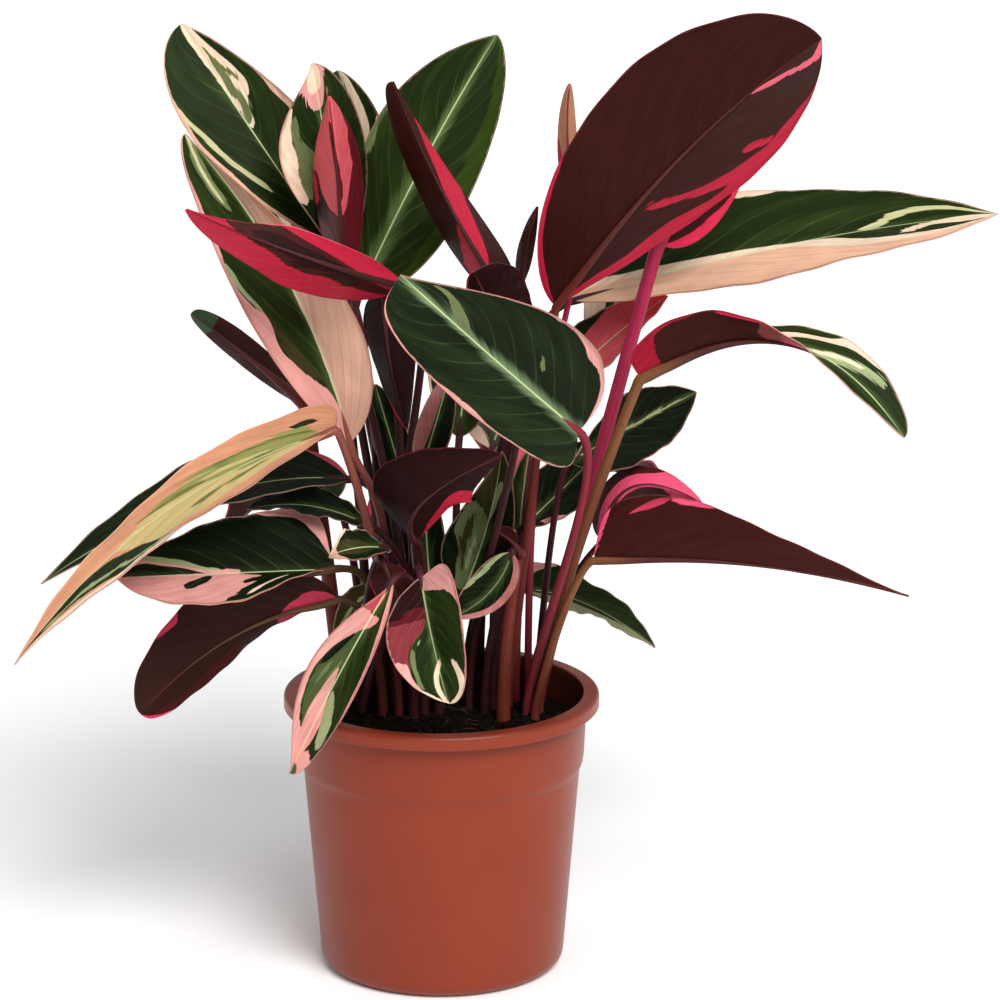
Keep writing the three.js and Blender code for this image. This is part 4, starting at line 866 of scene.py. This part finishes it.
def marking_masks(n, name, r, reach, fray):
    """Tone and mask of each marking, its edges frayed along the grain."""
    masks = []
    for tone, rough, rows in MARKS.get(name, ()):
        low, high = pinched(rows)
        shifted = n.scaled(fray, rough * 1.9, r)
        soft = 0.015 + rough * 0.16
        rise = n.span(n.minus(shifted, n.curve(reach, low)), -soft / 2, soft / 2)
        fall = n.span(n.minus(n.curve(reach, high), shifted), -soft / 2, soft / 2)
        masks.append((tone, n.times(rise, fall)))
    return masks


def blade_material(name, leaf, seed):
    n = Nodes("blade_" + name)
    u, r, half = n.grain()
    is_top = n.math("GREATER_THAN", half, 0.0)
    out = n.math("ABSOLUTE", r)
    half = n.math("ABSOLUTE", half)
    from_rib = n.times(half, out)
    from_edge = n.minus(half, from_rib)
    slant = n.minus(u, n.times(out, n.scaled(out, VEIN_TURN, VEIN_SLANT)))
    flow = n.minus(u, n.times(out, 0.55))
    salt = n.scaled(n.math("SIGN", r), 3.7, 10.0 + 1.3 * seed)

    def strands(along, across, detail):
        place = n.vector(n.times(flow, along), n.times(out, across), salt)
        return n.minus(n.noise(place, 1.0, detail), 0.5)

    broad = strands(7.0, 1.3, 2.0)
    fine = strands(36.0, 2.2, 2.0)
    thread = strands(150.0, 3.0, 1.0)
    mottle = n.minus(n.noise(n.place(), 60.0, 3.0), 0.5)
    fray = n.scaled(fine, 0.6, broad)
    reach = n.scaled(fine, 0.03, u)

    masks = marking_masks(n, name, r, reach, fray)
    sides = []
    for index in (0, 1):
        colour = TONES[leaf.ground][index]
        if index == 0 and leaf.ground in LEAFY:
            strength, width, pale = leaf.halo
            near = n.scaled(fray, -0.9 * width, from_rib)
            halo = n.span(near, 0.0, n.scaled(u, -0.45 * width, width), strength, 0.0)
            brighter = [v * 1.3 + 4 for v in colour]
            colour = n.mix(n.span(broad, -0.1, 0.25), colour, brighter)
            colour = n.mix(halo, colour, pale)
        for tone, mask in masks:
            colour = n.mix(mask, colour, TONES[tone][index])
        sides.append(colour)
    colour = n.mix(is_top, sides[1], sides[0])

    def over(colour, mask, below, above):
        return n.mix(mask, colour, n.mix(is_top, below, above))

    # Lateral veins and a little unevenness
    lines = n.math("SINE", n.times(n.scaled(broad, 0.02, slant), 2 * math.pi * VEIN_LINES))
    veins = n.times(n.span(lines, 0.93, 1.0), n.span(out, 0.0, 0.9, 0.22, 0.02, False))
    veins = n.times(veins, n.span(broad, -0.2, 0.15, 0.35, 1.0))
    veins = n.times(veins, n.scaled(is_top, 0.8, 0.2))
    colour = over(colour, veins, (120, 60, 50), (104, 126, 74))
    shade = n.scaled(lines, 0.03, 0.97)
    for part, amount in ((fine, 0.5), (thread, 0.45), (mottle, 0.35)):
        shade = n.scaled(part, amount, shade)
    colour = n.shaded(colour, shade)

    # The midrib and the thin pale margin
    rib = n.minus(1.0, n.span(n.math("DIVIDE", from_rib, n.scaled(u, -0.3, 0.5)), 0.7, 1.7))
    rib = n.times(rib, n.span(u, 0.85, 1.0, leaf.rib, 0.2))
    colour = over(colour, rib, (110, 48, 40), (196, 208, 156))
    edge = n.span(n.scaled(fine, 2.2, from_edge), 0.5, 1.15, leaf.edge, 0.0)
    colour = over(colour, edge, (136, 52, 62), (222, 178, 156))

    gloss = n.scaled(is_top, -0.07, n.scaled(mottle, 0.3, 0.5))
    height = n.plus(n.scaled(thread, 1.2, n.times(lines, 0.5)), fine)
    n.bump(height, 0.3, 0.0004)
    return n.finish(colour, gloss, 0.06)


def stalk_material(name):
    low, high, rib = STALK_TONES[name]
    n = Nodes("stalk_" + name)
    t, turn, _ = n.grain()
    ring = n.times(turn, 2 * math.pi)
    around = n.vector(n.math("SINE", ring), n.math("COSINE", ring), n.times(t, 2.5))
    streak = n.noise(around, 2.4, 3.0)
    spots = n.noise(n.place(), 420.0, 2.0)
    place = n.plus(t, n.times(n.minus(streak, 0.5), 0.5))
    colour = n.mix(n.span(place, 0.15, 0.8), low, high)
    colour = n.mix(n.span(t, 1.0, 1.2), colour, rib)
    colour = n.shaded(colour, n.scaled(n.minus(streak, 0.5), 1.1, 0.95))
    colour = n.mix(n.span(spots, 0.6, 0.72, 0.0, 0.35), colour, (70, 30, 28))
    n.bump(n.plus(streak, n.times(spots, 0.4)), 0.3, 0.0006)
    return n.finish(colour, n.scaled(streak, 0.2, 0.4), 0.2)


def pot_material():
    n = Nodes("pot_plastic")
    place = n.place()
    x, y, z = n.split(place)
    cloud = n.noise(place, 9.0, 3.0)
    grain = n.noise(place, 900.0, 2.0)
    scuff = n.noise(n.vector(x, y, n.times(z, 6.0)), 60.0, 4.0, 0.7)
    colour = n.mix(n.span(cloud, 0.3, 0.7), (128, 47, 24), (136, 53, 28))
    # Painted shade: the body is darker towards its foot
    colour = n.mix(n.span(z, 0.12, 0.0, 0.0, 0.4), colour, (112, 40, 22))
    colour = n.mix(n.span(scuff, 0.62, 0.8, 0.0, 0.25), colour, (150, 72, 46))
    # The inner wall above the soil gets painted shade, and the top of the lip is dusty with peat
    radius = n.math("POWER", n.plus(n.times(x, x), n.times(y, y)), 0.5)
    painted_shade_radius = n.scaled(n.minus(scuff, 0.5), 0.0006, radius)
    inside = n.times(n.span(painted_shade_radius, 0.0853, 0.0858, 0.85, 0.0), n.span(z, 0.142, 0.148))
    colour = n.mix(inside, colour, (52, 26, 21))
    colour = n.mix(n.span(z, 0.1665, 0.1698, 0.0, 0.5), colour, (92, 36, 24))
    rough = n.plus(n.scaled(cloud, 0.12, 0.3), n.span(scuff, 0.55, 0.8, 0.0, 0.15))
    n.bump(n.plus(grain, n.times(cloud, 3.0)), 0.1, 0.0004)
    return n.finish(colour, rough, 0.25)


def soil_material():
    n = Nodes("soil_peat")
    place = n.place()
    lumps = n.noise(place, 260.0, 5.0, 0.7)
    damp = n.noise(place, 35.0, 3.0)
    colour = n.mix(n.span(lumps, 0.35, 0.75), (5, 3, 2), (27, 18, 12))
    colour = n.mix(n.span(damp, 0.45, 0.75, 0.0, 0.6), colour, (8, 5, 4))
    n.bump(lumps, 0.8, 0.0015)
    return n.finish(colour, n.scaled(damp, 0.2, 0.75), 0.05)


def fibre_material():
    n = Nodes("soil_fibre")
    streak = n.noise(n.place(), 300.0, 3.0)
    colour = n.mix(n.span(streak, 0.35, 0.7), (34, 22, 15), (66, 45, 30))
    n.bump(streak, 0.4, 0.0004)
    return n.finish(colour, n.scaled(streak, 0.2, 0.65), 0.1)


def floor_material():
    n = Nodes("floor")
    cloud = n.noise(n.place(), 1.5, 2.0)
    colour = n.mix(cloud, (0.95, 0.95, 0.95, 1), (0.98, 0.98, 0.98, 1))
    return n.finish(colour, 0.8, 0.2)


# ---- Pot ----

POT_SIDES = 144
WALL, FLOOR = 1.8, 2.4
CORNER, COLLAR = (73.5, 9), (83.2, 126)   # radius and height of the wall's ends, outside
RIM, HEIGHT = 94.5, 170
HOLES, HOLE_SIDES = 6, 28
HOLE_RADIUS, HOLE_DEPTH, HOLE_CIRCLE = 0.005, 0.008, 0.046   # in metres
CREASE = math.radians(32)                 # from which an edge stays sharp


def arc_points(centre, radius, start, end, count):
    return [(centre[0] + radius * math.cos(a), centre[1] + radius * math.sin(a))
            for a in np.radians(np.linspace(start, end, count))]


def wall(z):
    (low, start), (high, end) = CORNER, COLLAR
    return low + (high - low) * (z - start) / (end - start)


def pot_profile():
    """Radius and height along the section: up outside, over the rolled lip and down inside."""
    outer = [(0, 0), (30, 0), (60, 0)] + arc_points((64.5, 9), 9, -90, -4, 10)
    outer += [(wall(z), z) for z in (20, 45, 70, 95, 115, 121)]
    outer += [(83.1, 123), (83.6, 124.6), (84.3, 126), (84.8, 127.4), (85.1, 129), (85.5, 132)]
    outer += [(86.3, 148), (86.8, 157.2), (86.9, 160.8), (87.1, 161.3)]
    lip = [(91.8, 161.3), (92.7, 161.3), (92.7, 161.5), (92.9, 161.5), (94.2, 161.6), (RIM, 162)]
    lip += [(RIM, 164.5)] + arc_points((92, 167.5), 2.5, 0, 90, 8) + [(89.5, HEIGHT), (87, HEIGHT)]
    inner = arc_points((86.2, 168.8), 1.2, 90, 180, 4) + [(85, 157.5), (83.4, 126), (83.2, 125)]
    inner += [(wall(123.4) - WALL, 123.2), (wall(80) - WALL, 80), (wall(30) - WALL, 30)]
    inner += arc_points((64.5, 9.6), 7.2, -4, -90, 6) + [(30, FLOOR), (0, FLOOR)]
    return outer + lip + inner


def pot_mesh():
    build = Builder()
    turn = turns(POT_SIDES)
    (_, low), *section, (_, high) = pot_profile()
    rings = [np.stack([radius * np.cos(turn), radius * np.sin(turn), np.full_like(turn, z)], -1)
             for radius, z in section]
    build.turned(np.array(rings), ((0, 0, low), (0, 0, high)), 0)
    return drilled(build.mesh("nursery_pot"))


def drilled(mesh):
    """The mesh with round drain holes through its floor."""
    pins = bmesh.new()
    for index in range(HOLES):
        angle = 2 * math.pi * index / HOLES
        made = bmesh.ops.create_cone(pins, cap_ends=True, segments=HOLE_SIDES, depth=HOLE_DEPTH,
                                     radius1=HOLE_RADIUS, radius2=HOLE_RADIUS)
        shift = (HOLE_CIRCLE * math.cos(angle), HOLE_CIRCLE * math.sin(angle), 0)
        bmesh.ops.translate(pins, verts=made["verts"], vec=shift)
    body = placed("body", mesh)
    cutter = placed("cutter", freed("pins", pins))
    cut = body.modifiers.new("holes", "BOOLEAN")
    cut.operation = "DIFFERENCE"
    cut.solver = "EXACT"
    cut.object = cutter
    bpy.context.view_layer.update()
    evaluated = body.evaluated_get(bpy.context.evaluated_depsgraph_get())
    result = bpy.data.meshes.new_from_object(evaluated)
    for thing in (body, cutter):
        bpy.data.objects.remove(thing)
    result.polygons.foreach_set("use_smooth", [True] * len(result.polygons))
    result.set_sharp_from_angle(angle=CREASE)
    result.name = "nursery_pot"
    return result


# ---- Soil ----

SOIL_RADIUS = 82.3
SOIL_SIDES, SOIL_RINGS = 180, 56
SOIL_SIDE = ((81.9, 140), (80.6, 123), (72.2, 12), (64.5, 3))   # below the surface
CRUMBS, FIBRES = 620, 70
SMALL_CRUMB, LARGE_CRUMB, LARGE_EVERY = (0.7, 2.0), (2.0, 3.4), 9
CRUMB_STRETCH = ((0.7, 1.3), (0.7, 1.3), (0.5, 0.9))
FIBRE_RADII = (0.16, 0.26, 0.3, 0.28, 0.24, 0.14)
FIBRE_SIDES = 5
FIBRE_STEP = 2.2


def soil_height(x, y):
    place = Vector((x, y, 0))
    high = 2.2 * noise.noise(place * 0.045) + 1.3 * noise.noise(place * 0.16)
    high += 0.9 * noise.noise(place * 0.5) + 0.5 * noise.noise(place * 1.3)
    return SOIL_TOP - 0.4 + high


def polar(radius, angle):
    return radius * math.cos(angle), radius * math.sin(angle)


def soil_mesh():
    build = Builder()
    turn = turns(SOIL_SIDES)
    rings = []
    for index in range(1, SOIL_RINGS + 1):
        places = [polar(SOIL_RADIUS * index / SOIL_RINGS, a) for a in turn]
        rings.append([(x, y, soil_height(x, y)) for x, y in places])
    for radius, z in SOIL_SIDE:
        rings.append([(*polar(radius, a), z) for a in turn])
    build.turned(np.array(rings), ((0, 0, soil_height(0, 0)), (0, 0, 3)), 0, flip=True)
    add_crumbs(build)
    return build.mesh("peat")


def add_crumbs(build):
    """Loose crumbs of peat and a few bits of fibre, lying on the surface."""
    dice = random.Random(7)
    ball = bmesh.new()
    bmesh.ops.create_icosphere(ball, subdivisions=2, radius=1)
    shape = [np.array(v.co) for v in ball.verts]
    faces = [[v.index for v in f.verts] for f in ball.faces]
    ball.free()
    for number in range(CRUMBS):
        size = dice.uniform(*(LARGE_CRUMB if number % LARGE_EVERY == 0 else SMALL_CRUMB))
        radius = (SOIL_RADIUS - 2.5) * math.sqrt(dice.random())
        x, y = polar(radius, dice.uniform(0, 2 * math.pi))
        centre = np.array((x, y, soil_height(x, y) + 0.25 * size))
        stretch = np.array([dice.uniform(*span) for span in CRUMB_STRETCH])
        salt = Vector((number * 3.1, 0, 0))
        points = [centre + size * stretch * v * (1 + 0.45 * noise.noise(Vector(v) * 1.6 + salt))
                  for v in shape]
        first = build.add(points, [(0, 0, 0)] * len(points))
        for corners in faces:
            build.face([first + k for k in corners], 0)
    steps = len(FIBRE_RADII)
    for _ in range(FIBRES):
        radius = (SOIL_RADIUS - 12) * math.sqrt(dice.random())
        x, y = polar(radius, dice.uniform(0, 2 * math.pi))
        heading = dice.uniform(0, 2 * math.pi)
        path = []
        for step in range(steps):
            arch = 0.8 * math.sin(step * math.pi / (steps - 1))
            path.append((x, y, soil_height(x, y) + 0.5 + arch))
            heading += dice.uniform(-0.5, 0.5)
            x += FIBRE_STEP * math.cos(heading)
            y += FIBRE_STEP * math.sin(heading)
        rings = tube(np.array(path), FIBRE_RADII, FIBRE_SIDES)
        first = build.add(rings.reshape(-1, 3), [(0, 0, 0)] * (steps * FIBRE_SIDES))
        build.grid(first, steps, FIBRE_SIDES, 1, closed=True)
        for ring, flip in ((0, True), (steps - 1, False)):
            corners = [first + ring * FIBRE_SIDES + j for j in range(FIBRE_SIDES)]
            build.face(reversed(corners) if flip else corners, 1)


# ---- Assembly ----

stalks = {name: stalk_material(name) for name in STALK_TONES}
for index, (name, leaf) in enumerate(LEAVES.items()):
    build = Builder()
    add_blade(build, leaf)
    add_stalk(build, leaf)
    mesh = build.mesh("plant_" + name)
    materials = (blade_material(name, leaf, index), stalks[leaf.stem])
    put("plant_" + name, mesh, materials, "leaf_" + name)

put("nursery_pot", pot_mesh(), (pot_material(),), "pot")
put("peat", soil_mesh(), (soil_material(), fibre_material()), "soil")


# ---- Floor, light and camera ----

FLOOR_RADIUS = 12

floor_shape = bmesh.new()
bmesh.ops.create_circle(floor_shape, cap_ends=True, segments=64, radius=FLOOR_RADIUS)
floor = placed("floor", freed("floor", floor_shape))
floor.data.materials.append(floor_material())

world = bpy.data.worlds.new("studio")
world.use_nodes = True
world.node_tree.nodes["Background"].inputs["Color"].default_value = (1, 1, 1, 1)
world.node_tree.nodes["Background"].inputs["Strength"].default_value = 0.58
bpy.context.scene.world = world

sun = bpy.data.lights.new("key", "SUN")
sun.energy = 3.1
sun.angle = math.radians(34)   # wide, for a soft shadow
key = placed("key", sun)
key.rotation_euler = Vector((0.4, -0.9, 0.95)).to_track_quat("Z", "Y").to_euler()

# The camera was fitted to the ellipses of the pot's rim and foot in the photo
camera = placed("camera", bpy.data.cameras.new("camera"))
camera.location = (0.035, -2.6, 0.975)
camera.rotation_euler = (math.radians(75.19), 0, 0)
camera.data.lens = 163.4
camera.data.sensor_width = 36
camera.data.clip_end = 60
bpy.context.scene.camera = camera
bpy.context.scene.view_settings.view_transform = "Standard"
